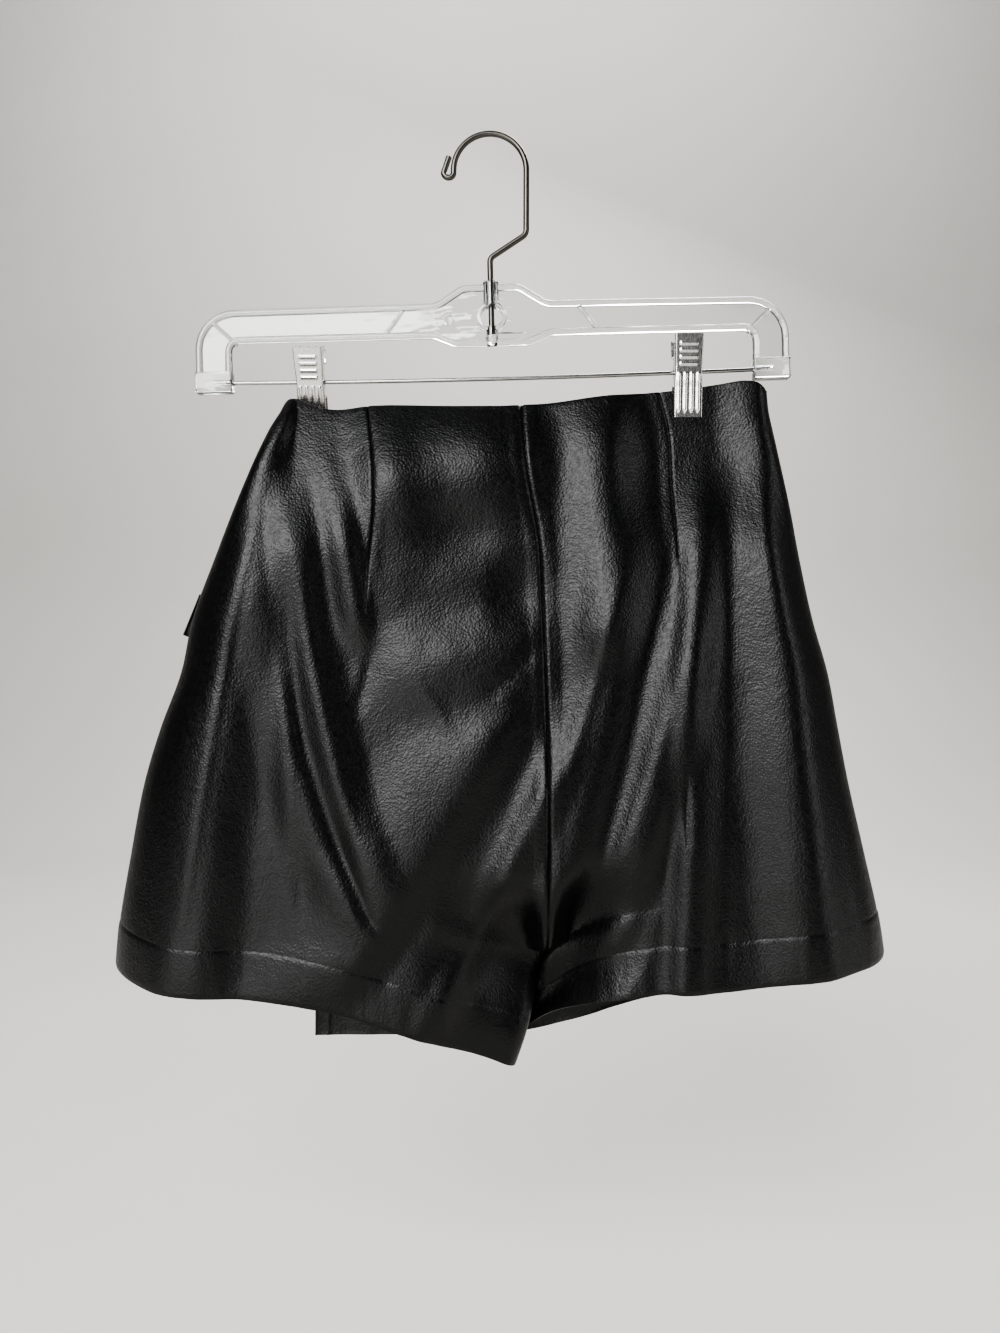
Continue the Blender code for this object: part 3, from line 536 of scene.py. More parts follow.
def puckers(x, up, side):
    """Short vertical puckers from the hem's edge to a little above its stitching."""
    wave = noise.noise(Vector((x / PUCKER_SIZE, up / (8 * PUCKER_SIZE), PUCKER_SLICE * side)))
    return PUCKER_HEIGHT * wave * (1 - smooth(HEM_BAND, HEM_BAND + 16.0, up))


def cloth_depth(x, z, face, tables, calm):
    """Depth of one face where it hangs flat, with its folds, creases and dents."""
    sign = -1.0 if face == BACK else 1.0
    grip = pinch(x, z)
    y = middle_layer(x, z) + sign * layer_depth(x, z, face, grip)
    seen = as_seen(z, y)
    height = sum(fold_height(table, x, seen) for table in tables)
    if face == BACK:
        height += mound_height(BACK_MOUNDS, x, seen)
        (start, full), (fade, end) = EASE_RUNS
        height -= BACK_EASE * smooth(start, full, seen) * (1 - smooth(fade, end, seen))
    height += dents(x, seen, sign) * smooth(-170.0, -200.0, z)
    return y + sign * calm * (1 - grip) * height


# %% [markdown]
# ## Sewn details
# The back has a dart that takes in the waist on each side and a centre seam with its
# allowances pressed open underneath. Every panel has a hem turned up 26 mm and stitched.
# Each shows as relief: the dart and the seam are narrow ditches with a soft ridge beside them,
# and the hem is a step where the cloth becomes double. They belong to the mesh, so rows and
# columns of the grid run close along them.

# %% Relief of darts, seams and hems
DART_ZONE = 9.0
LIP = 10.0
STITCH_DITCH = 0.42


def dart_relief(off, strength):
    """Across a dart: a narrow ditch, and a flat ridge where the fold lies underneath."""
    ditch = -1.15 * math.exp(-(off / 0.75) ** 2)
    ridge = 0.5 * smooth(-0.4, 1.6, off) * (1 - smooth(3.5, 8.5, off))
    return strength * (ditch + ridge)


def seam_relief(off):
    """Beside the centre seam: the cloth rolls into it over the pressed allowance."""
    roll = -1.3 * (1 - smooth(0.0, 1.9, off))
    allowance = 0.4 * smooth(0.6, 2.4, off) * (1 - smooth(6.0, 9.5, off))
    return roll + allowance


def hem_relief(up):
    """Up from a hem's edge: a rolled edge, the double band, the stitches' ditch."""
    edge = -0.5 * (1 - smooth(0.0, 2.0, up))
    band = 0.35 * (1 - smooth(HEM_BAND - 0.4, HEM_BAND + 1.8, up))
    ditch = -STITCH_DITCH * math.exp(-((up - HEM_BAND) / 1.0) ** 2)
    return edge + band + ditch


def waist_relief(down):
    """Down from the waist: the edge is turned in and rolls over."""
    return -0.45 * (1 - smooth(0.0, 2.2, down)) + 0.25 * (1 - smooth(6.0, 26.0, down))


# %% A point on a back or a front
def inner_line(leg, z):
    return read(CENTRE_BACK if z >= CROTCH else LEGS[leg]["inseam"], z)


def seam_sink(z, away=0.0):
    """How far the cloth has turned under: 0 on the seat, 1 at the crotch, softer off the seam."""
    part = min(1.0, max(0.0, (CROTCH + CROTCH_CURVE - z) / CROTCH_CURVE))
    sharp = 1.0 - math.sqrt(1.0 - part * part)
    return sharp + (smooth(0.0, 1.0, part) - sharp) * smooth(0.0, 16.0, away)


def inseam_depth(leg, z):
    foot = LEGS[leg]["inseam"][-1][0]
    return LEGS[leg]["inseam_depth"] * smooth(0.0, 0.85, (CROTCH - z) / (CROTCH - foot))


def fill_out(off, edge, belly):
    """Depth at a distance from the inner edge: a round lip, then a slope to the belly."""
    lip = min(1.0, INSEAM_EDGE / abs(belly - edge))
    turn = math.sqrt(1.0 - (1.0 - min(1.0, off / INSEAM_EDGE)) ** 2)
    return edge + (belly - edge) * (lip * turn + (1 - lip) * smooth(0.0, INSEAM_RUN, off))


def side_seam_turn(side_x, side_z, fold, face):
    """Angle round the side fold at which a panel ends, half the seam's gap short of it."""
    depth = layer_depth(side_x, side_z, FRONT)
    per_radian = math.hypot(fold * math.sin(SIDE_SEAM), depth * math.cos(SIDE_SEAM))
    return SIDE_SEAM + (1 if face == FRONT else -1) * SEAM_GAP / 2 / per_radian


def panel_place(leg, face, column, drop):
    """X, height, distances and turn of a grid point before it is given its depth."""
    kind, value = column
    outward = -1.0 if leg == "left" else 1.0
    end = 0 if leg == "left" else -1
    side_top, side_foot = WAIST[end], LEGS[leg]["hem"][end]
    inner_foot = LEGS[leg]["inseam"][-1]
    crotch_share = (SEAM_TOP[1] - CROTCH) / (SEAM_TOP[1] - inner_foot[0])
    row = drop * crotch_share if drop <= 1 else crotch_share + (drop - 1) * (1 - crotch_share)
    side_z = side_top[1] + (side_foot[1] - side_top[1]) * row
    inner_z = SEAM_TOP[1] + (inner_foot[0] - SEAM_TOP[1]) * row
    side_x = read(SECTIONS, side_z, 1 if leg == "left" else 2)
    inner_x = inner_line(leg, inner_z) + outward * SEAM_GAP / 2
    fold = read(SECTIONS, side_z, FOLD)
    width = abs(inner_x - side_x)
    dart = abs(read(LEGS[leg]["dart"], side_z + (inner_z - side_z) * 0.6) - side_x)
    turn = math.pi / 2 * (-1 if face == BACK else 1)
    if kind == "fold":
        turn = side_seam_turn(side_x, side_z, fold, face) if value is None else value
        across = fold * (1 - math.cos(turn))
    elif kind == "outer":
        across = fold + (dart - DART_ZONE - fold) * value
    elif kind == "dart":
        across = dart + value
    elif kind == "inner":
        across = dart + DART_ZONE + (width - LIP - dart - DART_ZONE) * value
    elif kind == "flat":
        across = fold + (width - LIP - fold) * value
    else:
        across = width - value
    x = side_x - outward * across
    share = across / width

    def edge_shape(table, start, finish):
        straight = start[1] + (finish[1] - start[1]) * share
        return read(table, start[0] + (finish[0] - start[0]) * share) - straight

    z = side_z + (inner_z - side_z) * share
    z += (1 - row) * edge_shape(WAIST, side_top, SEAM_TOP)
    z += row * edge_shape(LEGS[leg]["hem"], side_foot, inner_foot[::-1])
    return x, z, across, width - across, turn, inner_z


def panel_surface(leg, face, column, drop, up, down):
    """A point on a panel's outer face in metres. up is its distance above the hem."""
    x, z, across, off, turn, inner_z = panel_place(leg, face, column, drop)
    sink = seam_sink(inner_z)
    calm = smooth(2.0, 18.0, across) * (1 - sink * (1 - smooth(4.0, 26.0, off)))
    side = BACK if turn < 0 else FRONT
    sign = -1 if side == BACK else 1
    tables = (BACK_FOLDS, BACK_CREASES) if side == BACK else (FRONT_FOLDS, FRONT_CREASES)
    flat = cloth_depth(x, z, side, tables, calm)
    if sink > 0 and abs(turn) > math.radians(89):
        edge = inseam_depth(leg, inner_z) + sign * INSEAM_GAP
        flat += seam_sink(inner_z, off) * (fill_out(off, edge, flat) - flat)
    relief = hem_relief(up) + waist_relief(down)
    relief += puckers(x, up, sign) * smooth(4.0, 20.0, off) * smooth(0.0, 12.0, across)
    relief += seam_relief(off) * (1 - sink)
    if column[0] == "dart" and face == BACK:
        end = LEGS[leg]["dart_end"]
        relief += dart_relief(column[1], smooth(end, end + 60.0, z))
    middle = middle_layer(x, z)
    y = middle + (flat - middle) * abs(math.sin(turn)) + sign * relief * abs(math.sin(turn))
    outward = -1.0 if leg == "left" else 1.0
    x_true = out_to_depth(x, y) + outward * relief * math.cos(turn)
    return Vector((x_true, y, z)) * MM


# %% [markdown]
# ## Weaving the grid
# A panel is one sheet of quads: columns from the side fold to the inner seam, rows from the
# waist to the hem. Columns crowd along the dart and the seam, and rows along the hem's stitches,
# so that a ditch 1.5 mm wide has its own vertices while flat cloth has one every 3 to 6 mm.
# Solidify then gives the sheet its wall inwards, with the knit on its inner side.

# %% Grid and wall
SHELL, RIM, FAR = 1.0, 0.35, 300.0


def sheet_mesh(name, grid, flip):
    """Rows of points as a closed wall: skin outside, knit inside, rounded rims."""
    holder = place_object(name, grid_mesh(name, grid, flip))
    wall = holder.modifiers.new("wall", "SOLIDIFY")
    wall.thickness, wall.offset = SHELL * MM, -1.0
    wall.use_rim, wall.material_offset, wall.material_offset_rim = True, 1, 0
    rounding = holder.modifiers.new("rounding", "BEVEL")
    rounding.width, rounding.segments = RIM * MM, 2
    rounding.limit_method, rounding.angle_limit = "ANGLE", math.radians(60)
    for _ in ("skin", "knit"):
        holder.data.materials.append(None)
    solid = finished(holder)
    solid.name = name
    solid.shade_smooth()
    return solid


def steps(start, finish, count):
    """Even steps from start to finish, without the last one."""
    return [start + (finish - start) * (index / count) for index in range(count)]


# %% Columns and rows of the panels
LIP_STEPS = (10.0, 8.4, 6.9, 5.5, 4.2, 3.1, 2.2, 1.5, 0.9, 0.4, 0.0)
DART_STEPS = (-9, -7, -5.2, -3.7, -2.5, -1.6, -1.0, -0.5, 0.0, 0.5, 1.0, 1.6, 2.5, 3.7, 5.2, 7.0)
BAND_STEPS = (34, 31.5, 29.5, 28.2, 27.3, 26.6, 26.0, 25.4, 24.7, 23.6, 22, 20, 17.5, 15,
              12.5, 10, 7.5, 5.2, 3.2, 1.8, 0.8, 0.0)
TOP_STEPS = (0.0, 0.8, 1.8, 3.2, 5.0, 7.4)


def panel_columns(face):
    sign = -1 if face == BACK else 1
    if face == BACK:
        turns = [None] + [math.radians(angle) for angle in range(14, -90, -8)]
        columns = [("fold", turn) for turn in turns]
        columns += [("outer", part) for part in steps(0.0, 1.0, 38)]
        columns += [("dart", float(off)) for off in DART_STEPS]
        columns += [("inner", part) for part in steps(0.0, 1.0, 36)]
    else:
        turns = [None] + [math.radians(angle) for angle in range(28, 90, 10)]
        columns = [("fold", turn) for turn in turns]
        columns += [("flat", part) for part in steps(0.0, 1.0, 52)]
    return columns + [("lip", off) for off in LIP_STEPS]


def drop_at(leg, face, column, up=None, down=None):
    """The row value at a distance above the hem or below the waist in this column."""
    if up is not None:
        foot = panel_place(leg, face, column, 2.0)[1]
        above = panel_place(leg, face, column, 1.6)[1]
        return 2.0 - 0.4 * up / (above - foot)
    top = panel_place(leg, face, column, 0.0)[1]
    below = panel_place(leg, face, column, 0.05)[1]
    return 0.05 * down / (top - below)


def panel_grid(leg, face):
    """Rows by their drop in each column, their height above the hem and depth below the waist."""
    columns, body = panel_columns(face), 86 if face == BACK else 58
    first, last = TOP_STEPS[-1], BAND_STEPS[0]
    tops = [drop_at(leg, face, column, down=first) for column in columns]
    bands = [drop_at(leg, face, column, up=last) for column in columns]
    rows = [([top * down / first for top in tops], FAR, down) for down in TOP_STEPS]
    for part in (index / body for index in range(1, body)):
        drops = [top + (band - top) * part for top, band in zip(tops, bands)]
        rows.append((drops, last + 380 * (1 - part), 8.0 + 340 * part))
    rows += [([2.0 - (2.0 - band) * up / last for band in bands], up, FAR) for up in BAND_STEPS]
    return [[panel_surface(leg, face, column, drop, up, down)
             for column, drop in zip(columns, drops)] for drops, up, down in rows]


# %% Sew the four panels of the shorts
CUT = {
    # width and length of the cut's rectangle, and its area, in metres and square metres
    "back_left": (0.29, 0.44, 0.092), "back_right": (0.26, 0.43, 0.076),
    "front_left": (0.28, 0.44, 0.087), "front_right": (0.25, 0.43, 0.069),
    "wrap_panel": (0.37, 0.43, 0.131),
}
panels = {}
for leg in LEGS:
    for face, side in ((BACK, "back"), (FRONT, "front")):
        node = f"{side}_{leg}"
        flip = (leg == "left") == (side == "back")
        mesh = sheet_mesh(f"{node}_cloth", panel_grid(leg, face), not flip)
        panels[node] = add_piece(f"{node}_cloth", mesh, "coated_cloth", skin, knit, node=node)
        print(node, len(mesh.polygons), "faces")

# %% [markdown]
# ## The wrap over the front
# The wrap is the same cloth again, laid over both fronts from the right side seam to a free edge
# by the left hip. Each of its points is a front's point moved out, so the layers lie on each
# other without crossing. Its free edge and hem are turned and stitched as well.

# %% A point on the wrap
WRAP_DROP, WRAP_WIDTH, EDGE_STITCH = 385.0, 270.0, 8.0
EDGE_STEPS = (14.0, 12.0, 10.4, 9.3, 8.6, 8.0, 7.4, 6.7, 5.6, 4.2, 2.8, 1.6, 0.8, 0.0)


def wrap_surface(share, drop, turn, up):
    """Share 0 at the side seam, 1 at the free edge; drop 0 at the waist, 1 at the hem."""
    side_top, side_foot = WAIST[-1], WRAP_HEM[-1]
    side_z = side_top[1] + (side_foot[1] - side_top[1]) * drop
    edge_top = read(WAIST, WRAP_EDGE[0][1])
    edge_z = edge_top + (WRAP_HEM[0][1] - edge_top) * drop
    side_x, edge_x = read(SECTIONS, side_z, 2), read(WRAP_EDGE, edge_z)
    fold = read(SECTIONS, side_z, FOLD)
    if turn is None:
        turn = side_seam_turn(side_x, side_z, fold, FRONT)
    across = fold * (1 - math.cos(turn)) + (side_x - edge_x - fold) * share
    x = side_x - across
    part = across / (side_x - edge_x)
    top = read(WAIST, side_top[0] + (WRAP_EDGE[0][1] - side_top[0]) * part)
    foot = read(WRAP_HEM, side_foot[0] + (WRAP_HEM[0][0] - side_foot[0]) * part)
    z = top + (foot - top) * drop
    calm = smooth(2.0, 18.0, across)
    middle = middle_layer(x, z)
    flat = cloth_depth(x, z, FRONT, (FRONT_FOLDS, FRONT_CREASES), calm)
    y = middle + (flat - middle) * math.sin(turn)
    free = smooth(0.0, 30.0, top - z) * smooth(4.0, 34.0, across) * (1 - pinch(x, z))
    from_edge = x - edge_x
    edge = -0.35 * (1 - smooth(0.0, 1.8, from_edge))
    edge -= STITCH_DITCH * math.exp(-((from_edge - EDGE_STITCH) / 1.0) ** 2)
    relief = hem_relief(up) + edge + puckers(x, up, 2) * smooth(4.0, 20.0, across)
    lift = WALL + LAYER_GAP + WRAP_AIR * free + relief * smooth(2.0, 30.0, top - z)
    x_true = out_to_depth(x, y) + lift * math.cos(turn)
    return Vector((x_true, y + lift * math.sin(turn), z)) * MM


def wrap_columns():
    """Share across and turn of each column, close together along the free edge's stitches."""
    columns = [(0.0, None)] + [(0.0, math.radians(angle)) for angle in range(28, 90, 10)]
    columns += [(part, math.pi / 2) for part in steps(0.0, 0.945, 84)]
    return columns + [(1.0 - off / WRAP_WIDTH, math.pi / 2) for off in EDGE_STEPS]


def wrap_rows():
    """Drop and distance above the hem of each row."""
    rows = [(down / WRAP_DROP, FAR) for down in TOP_STEPS]
    start, finish = TOP_STEPS[-1] / WRAP_DROP, 1 - BAND_STEPS[0] / WRAP_DROP
    rows += [(part, FAR) for part in steps(start, finish, 88)[1:]]
    return rows + [(1 - up / WRAP_DROP, up) for up in BAND_STEPS]


grid = [[wrap_surface(share, drop, turn, up) for share, turn in wrap_columns()]
        for drop, up in wrap_rows()]
wrap = add_piece("wrap_panel_cloth", sheet_mesh("wrap_panel_cloth", grid, False),
                 "coated_cloth", skin, knit, node="wrap_panel")
print("wrap", len(wrap.data.polygons), "faces")

panels["wrap_panel"] = wrap
for node, piece in panels.items():
    width, length, area = CUT[node]

# %% [markdown]
# ## The strap
# A short strap of the same cloth, folded double to 27 mm and topstitched along both edges, runs
# from the wrap's free edge round the left hip. Only its end shows past the left fold from
# behind. It is a small grid whose outer side lies 3 mm out from the front, with rolled edges
# and a ditch for the stitches.

# %% The strap of doubled cloth
TAB_WIDTH, TAB_LENGTH, TAB_THICK, TAB_LIFT, TAB_STITCH = 26.6, 80.0, 2.0, 1.0, 3.0
TAB_END, TAB_SLOPE, TAB_DROP = (-178.5, -286.5), math.radians(22.0), 27.0


def strap_surface(share, width):
    """A point on the strap: share 0 at its end, 1 at the wrap; width -0.5 to 0.5."""
    along = Vector((math.cos(TAB_SLOPE), -math.sin(TAB_SLOPE)))
    across = Vector((math.sin(TAB_SLOPE), math.cos(TAB_SLOPE)))
    start = Vector(TAB_END) + across * (width * TAB_WIDTH)
    edge_x = read(WRAP_EDGE, start.y - TAB_DROP) - SEAM_GAP
    x, z = start + along * (share * (edge_x - start.x) / along.x)
    fold_x = read(SECTIONS, z, 1) + 0.5 * read(SECTIONS, z, FOLD)
    y = cloth_depth(max(x, fold_x), z, FRONT, (FRONT_FOLDS,), 1.0)
    y += TAB_THICK + TAB_LIFT - 0.25 * max(0.0, fold_x - x)
    nearest = min(TAB_WIDTH * (0.5 - abs(width)), share * TAB_LENGTH)
    y -= 0.45 * (1 - smooth(0.0, 1.6, nearest))
    y -= 0.3 * math.exp(-((nearest - TAB_STITCH) / 0.9) ** 2)
    return Vector((out_to_depth(x, y), y, z)) * MM


SIDE_STEPS = (0.0, 0.6, 1.3, 2.2, 3.0, 3.8, 5.0, 7.5, 10.4)
edge_parts = [off / TAB_WIDTH - 0.5 for off in SIDE_STEPS]
cross = edge_parts + [-part for part in reversed(edge_parts)]
lengths = [off / TAB_LENGTH for off in SIDE_STEPS[:-1]] + [index / 40 for index in range(4, 41)]
grid = [[strap_surface(share, width) for width in cross] for share in lengths]
mesh = sheet_mesh("strap_tab_cloth", grid, False)
strap = add_piece("strap_tab_cloth", mesh, "coated_cloth", skin, skin, node="strap_tab")
print("strap", len(mesh.polygons), "faces")

# %% [markdown]
# ## The stitches
# A lockstitch is a row of short thread humps that dive into the cloth at each needle hole.
# Each hump is modelled as a slim bead, 2.3 mm long with 0.9 mm between two. They sit in the
# ditch that the hem's relief left for them, on every hem, on the wrap's free edge and round
# the strap.

# %% Beads of thread along a line on the cloth
STITCH, STITCH_SPACE, THREAD, FACETS = 2.3, 0.9, 0.62, 6
BEAD_RINGS = (
    # place along a stitch, thickness against the thread's, height in millimetres
    (0.0, 0.45, -0.2), (0.25, 0.9, 0.02), (0.5, 1.0, 0.1), (0.75, 0.9, 0.02), (1.0, 0.45, -0.2),
)


def stitch_row(shape, points, outs):
    """Beads along a polyline; outs are directions out of the cloth at its points."""
    lengths = [0.0]
    for before, here in zip(points, points[1:]):
        lengths.append(lengths[-1] + (here - before).length)

    def at(distance):
        index = 0
        while index < len(lengths) - 2 and lengths[index + 1] < distance:
            index += 1
        run = lengths[index + 1] - lengths[index]
        part = (distance - lengths[index]) / run if run else 0.0
        out = outs[index].lerp(outs[index + 1], part).normalized()
        return points[index].lerp(points[index + 1], part), out

    count = int(lengths[-1] / ((STITCH + STITCH_SPACE) * MM))
    for number in range(count):
        start = number * (STITCH + STITCH_SPACE) * MM
        rings = []
        for part, size, lift in BEAD_RINGS:
            place, out = at(start + STITCH * MM * part)
            ahead = (at(start + STITCH * MM)[0] - at(start)[0]).normalized()
            side = ahead.cross(out).normalized()
            centre = place + out * (lift * MM)
            rings.append([shape.verts.new(
                centre + (side * math.cos(angle) + out * math.sin(angle))
                * (size * THREAD / 2 * MM))
                for angle in (math.tau * step / FACETS for step in range(FACETS))])
        for ring, following in zip(rings, rings[1:]):
            for index in range(FACETS):
                shape.faces.new((ring[index], ring[index - 1],
                                 following[index - 1], following[index]))
        shape.faces.new(rings[0])
        shape.faces.new(rings[-1][::-1])
    return count


def out_of(first, second, outside):
    """Unit direction out of the cloth, across two directions that lie in it."""
    out = first.cross(second).normalized()
    return out if out.dot(outside) > 0 else -out


def add_stitches(name, rows):
    """Rows of stitches, each a line of points with the directions out of the cloth."""
    shape = bmesh.new()
    count = sum(stitch_row(shape, points, outs) for points, outs in rows)
    bmesh.ops.recalc_face_normals(shape, faces=shape.faces)
    mesh = mesh_of(shape, name)
    mesh.shade_smooth()
    add_piece(name, mesh, "coated_cloth", thread)
    print(name, count, "stitches")


# %% Sew the hems, the free edge and the strap
TAB_CORNER = 0.036


def hem_row(leg, face):
    points, rises = [], []
    for column in panel_columns(face):
        if column[0] == "lip" and column[1] < 1.0:
            continue
        here, above = (
            panel_surface(leg, face, column, drop_at(leg, face, column, up=up), up, FAR)
            for up in (HEM_BAND, HEM_BAND + 1.5))
        points.append(here)
        rises.append(above - here)
    outside = Vector((0.0, -1.0 if face == BACK else 1.0, 0.0))
    runs = [after - before for before, after in
            zip([points[0], *points[:-1]], [*points[1:], points[-1]])]
    return points, [out_of(run, rise, outside) for run, rise in zip(runs, rises)]


def wall_row(points):
    """A row on the hidden side, whose stitches stand out toward the wall."""
    return points, [Vector((0.0, 1.0, 0.0))] * len(points)


for leg in LEGS:
    add_stitches(f"hem_stitches_{leg}", [hem_row(leg, BACK), hem_row(leg, FRONT)])

hem_drop, free_share = 1 - HEM_BAND / WRAP_DROP, 1 - EDGE_STITCH / WRAP_WIDTH
hem_points = [wrap_surface(share, hem_drop, turn, HEM_BAND)
              for share, turn in wrap_columns() if share < free_share]
edge_points = [wrap_surface(free_share, drop, math.pi / 2, up)
               for drop, up in wrap_rows() if drop < hem_drop]
add_stitches("wrap_stitches", [wall_row(hem_points), wall_row(edge_points)])
inset = 0.5 - TAB_STITCH / TAB_WIDTH
strap_rows = [[strap_surface(share, width) for share in lengths if share > TAB_CORNER]
              for width in (-inset, inset)]
strap_rows.append([strap_surface(TAB_STITCH / TAB_LENGTH, part)
                   for part in cross if abs(part) < inset])
add_stitches("strap_stitches", [wall_row(row) for row in strap_rows])

# %% [markdown]
# ## Clear plastic
# The hanger's bar is injection moulded from clear styrene, whose IOR is 1.59, so its rounded
# beads bend the room behind them into dark and bright lines. The colour is painted greyer where
# the surface turns away from the eye: a painted shade that draws dark lines along each bead's edge.
# Moulding leaves it nearly polished, with a faint flow ripple.

# %% Moulded styrene
def moulded_styrene():
    made, tree, place = start_material("moulded_clear_styrene", Roughness=0.04, IOR=1.59,
                                       Transmission_Weight=1.0)
    # Painted shade: the colour runs to dark grey where the surface turns away from the eye, drawing
    # dark lines along the beads' edges.
    facing = add_node(tree, "ShaderNodeLayerWeight", {"Blend": 0.5})
    edge = add_node(tree, "ShaderNodeMapRange", {"From Min": 0.25, "From Max": 0.95},
                    {"Value": facing.outputs["Facing"]})
    run_tones(tree, "#fcfdfc", "#454b4a", edge.outputs[0])
    along = add_node(tree, "ShaderNodeMapping", {"Scale": (0.25, 1.0, 1.0)}, {"Vector": place})
    emboss(tree, cloudy(tree, along.outputs[0], 130.0, 2.0), 0.5, 0.0016)
    return made


styrene = moulded_styrene()

# %% [markdown]
# ## Metals
# The jaws are stamped from sheet steel and chromed: nearly a mirror, with fine scratches from
# handling. The rod and the springs are bright drawn steel, whose die leaves lines along the
# wire. The hook is the same wire with a thin dark nickel plating, so it is grey and satin.

# %% Chromed sheet, drawn wire and dark nickel
def plated_metal(name, tones, roughness, across, streak):
    """A metal whose tone and roughness run in streaks; streak is their length by width."""
    made, tree, place = start_material(name, Metallic=1.0)
    stretched = add_node(tree, "ShaderNodeMapping", {"Scale": streak}, {"Vector": place})
    lines = cloudy(tree, stretched.outputs[0], 1000 / across, 3.0)
    run_tones(tree, *tones, lines)
    rough = add_node(tree, "ShaderNodeMapRange",
                     {"To Min": roughness[0], "To Max": roughness[1]}, {"Value": lines})
    feed(tree, rough.outputs[0], "Roughness")
    emboss(tree, lines, 0.2, 0.00005)
    return made


ALONG_X, ALONG_Z = (0.15, 1.0, 1.0), (1.0, 1.0, 0.2)
chrome = plated_metal("chromed_steel_sheet", ("#c4c2be", "#eae9e6"), (0.18, 0.36), 0.6, ALONG_Z)
drawn_steel = plated_metal("bright_drawn_steel", ("#8f8f8c", "#c6c6c2"), (0.16, 0.3), 0.3, ALONG_X)
dark_nickel = plated_metal("dark_nickel_on_wire", ("#4a4845", "#74716c"), (0.26, 0.4), 0.5, ALONG_Z)
print("metals:", chrome.name, drawn_steel.name, dark_nickel.name)

# %% [markdown]
# ## The moulded bar
# The bar is a 2 mm web between two round beads, with a leg at each end, ribs, a hub with a
# ring, and two sockets. In clear plastic a hidden inner face would show, so the parts are
# joined with exact Booleans into one skin instead of being pushed into each other.

# %% Outline of the bar
BEAD, WEB, HALF_SPAN, RIB = 4.4, 2.0, 178.0, 3.4
SOCKET, SOCKET_X, FIT, HOOK_WIRE = (22.0, 8.0, 12.3), 167.0, 0.3, 3.5
RIBS = (((167.4, 0.8), (153.0, -12.8)), ((51.0, 7.5), (64.5, -9.9)))
HUB_FORMS = (
    # radius, length, axis, place and rounding of the ring, its neck, its stem and the gate's stub
    (9.0, 5.6, "y", (0, 0, 0), 0.5), (4.7, 15.3, "z", (0, 0, 13.2), 0.5),
    (3.7, 10.9, "z", (0, 0, -11.1), 0.5), (3.2, 2.9, "y", (-26.1, 0, -1.1), 0.3),
)
RING_HOLE, HOOK_HOLE = (6.6, 12.0, "y"), (HOOK_WIRE / 2 + FIT, 40.0, "z")
STUB_HOLLOW = (2.2, 1.0, "y")


def rounded(corners, count=5):
    """Outline through corners, each a (x, z, radius) turned into an arc."""
    path = []
    for index, (x, z, radius) in enumerate(corners):
        if radius == 0.0:
            path.append((x, z))
            continue
        here = Vector((x, z))
        back = (Vector(corners[index - 1][:2]) - here).normalized()
        ahead = (Vector(corners[index + 1][:2]) - here).normalized()
        half = back.angle(ahead) / 2
        centre = here + (back + ahead).normalized() * (radius / math.sin(half))
        first = here + back * (radius / math.tan(half)) - centre
        sweep = math.pi - 2 * half
        if back.x * ahead.y - back.y * ahead.x > 0:
            sweep = -sweep
        path += [tuple(centre + Matrix.Rotation(sweep * step / count, 2) @ first)
                 for step in range(count + 1)]
    return path


def bar_lines():
    """The two bead lines about the hub, from the left socket over to the right one."""
    leg_out, leg_in = HALF_SPAN - BEAD / 2, HALF_SPAN - SOCKET[0] + BEAD / 2
    foot = ROD_LEVEL + SOCKET[2] / 2 - 2.0
    outer = [(leg_out, foot, 0.0), (leg_out, 5.8, 21.6), (33.0, 6.9, 12.0), (16.5, 17.4, 10.0)]
    inner = [(leg_in, foot, 0.0), (leg_in, -10.1, 7.0), (35.0, -10.1, 12.0), (22.0, -15.6, 10.0)]
    return [rounded([(-x, z, r) for x, z, r in half] + half[::-1], 9) for half in (outer, inner)]


# %% Wires, plates and simple blanks
def curve_mesh(name, points, thickness, facets, dimensions="3D", closed=False):
    """A round wire through points, or a filled plate when its dimensions are 2D."""
    curve = bpy.data.curves.new(name, "CURVE")
    curve.dimensions = dimensions
    if dimensions == "2D":
        curve.fill_mode, curve.extrude = "BOTH", thickness / 2 * MM
    else:
        curve.bevel_depth, curve.bevel_resolution = thickness / 2 * MM, facets
        curve.use_fill_caps = True
    line = curve.splines.new("POLY")
    line.points.add(len(points) - 1)
    line.use_cyclic_u = closed
    for point, place in zip(line.points, points):
        point.co = (*(Vector(place) * MM), 1.0)
    mesh = finished(place_object(name, curve))
    if dimensions == "2D":
        mesh.transform(Matrix.Rotation(math.pi / 2, 4, "X"))
    shape = bmesh.new()
    shape.from_mesh(mesh)
    bmesh.ops.remove_doubles(shape, verts=shape.verts, dist=0.01 * MM)
    shape.to_mesh(mesh)
    shape.free()
    return mesh


def blank(kind, size, place, bevel=0.0):
    """A cylinder (radius, length, axis) or a block, with its edges rounded."""
    shape = bmesh.new()
    if kind == "cylinder":
        radius, length, axis = size
        bmesh.ops.create_cone(shape, cap_ends=True, segments=40, radius1=radius, radius2=radius,
                              depth=length)
        turn = {"x": Matrix.Rotation(math.pi / 2, 4, "Y"),
                "y": Matrix.Rotation(math.pi / 2, 4, "X"), "z": Matrix.Identity(4)}[axis]
        bmesh.ops.transform(shape, matrix=turn, verts=shape.verts)
    else:
        bmesh.ops.create_cube(shape, size=1.0)
        bmesh.ops.scale(shape, vec=size, verts=shape.verts)
    if bevel:
        sharp = [edge for edge in shape.edges if edge.calc_face_angle() > math.radians(60)]
        bmesh.ops.bevel(shape, geom=sharp, offset=bevel, segments=3, affect="EDGES", profile=0.5)
    bmesh.ops.translate(shape, vec=place, verts=shape.verts)
    bmesh.ops.scale(shape, vec=(MM, MM, MM), verts=shape.verts)
    return mesh_of(shape, kind)


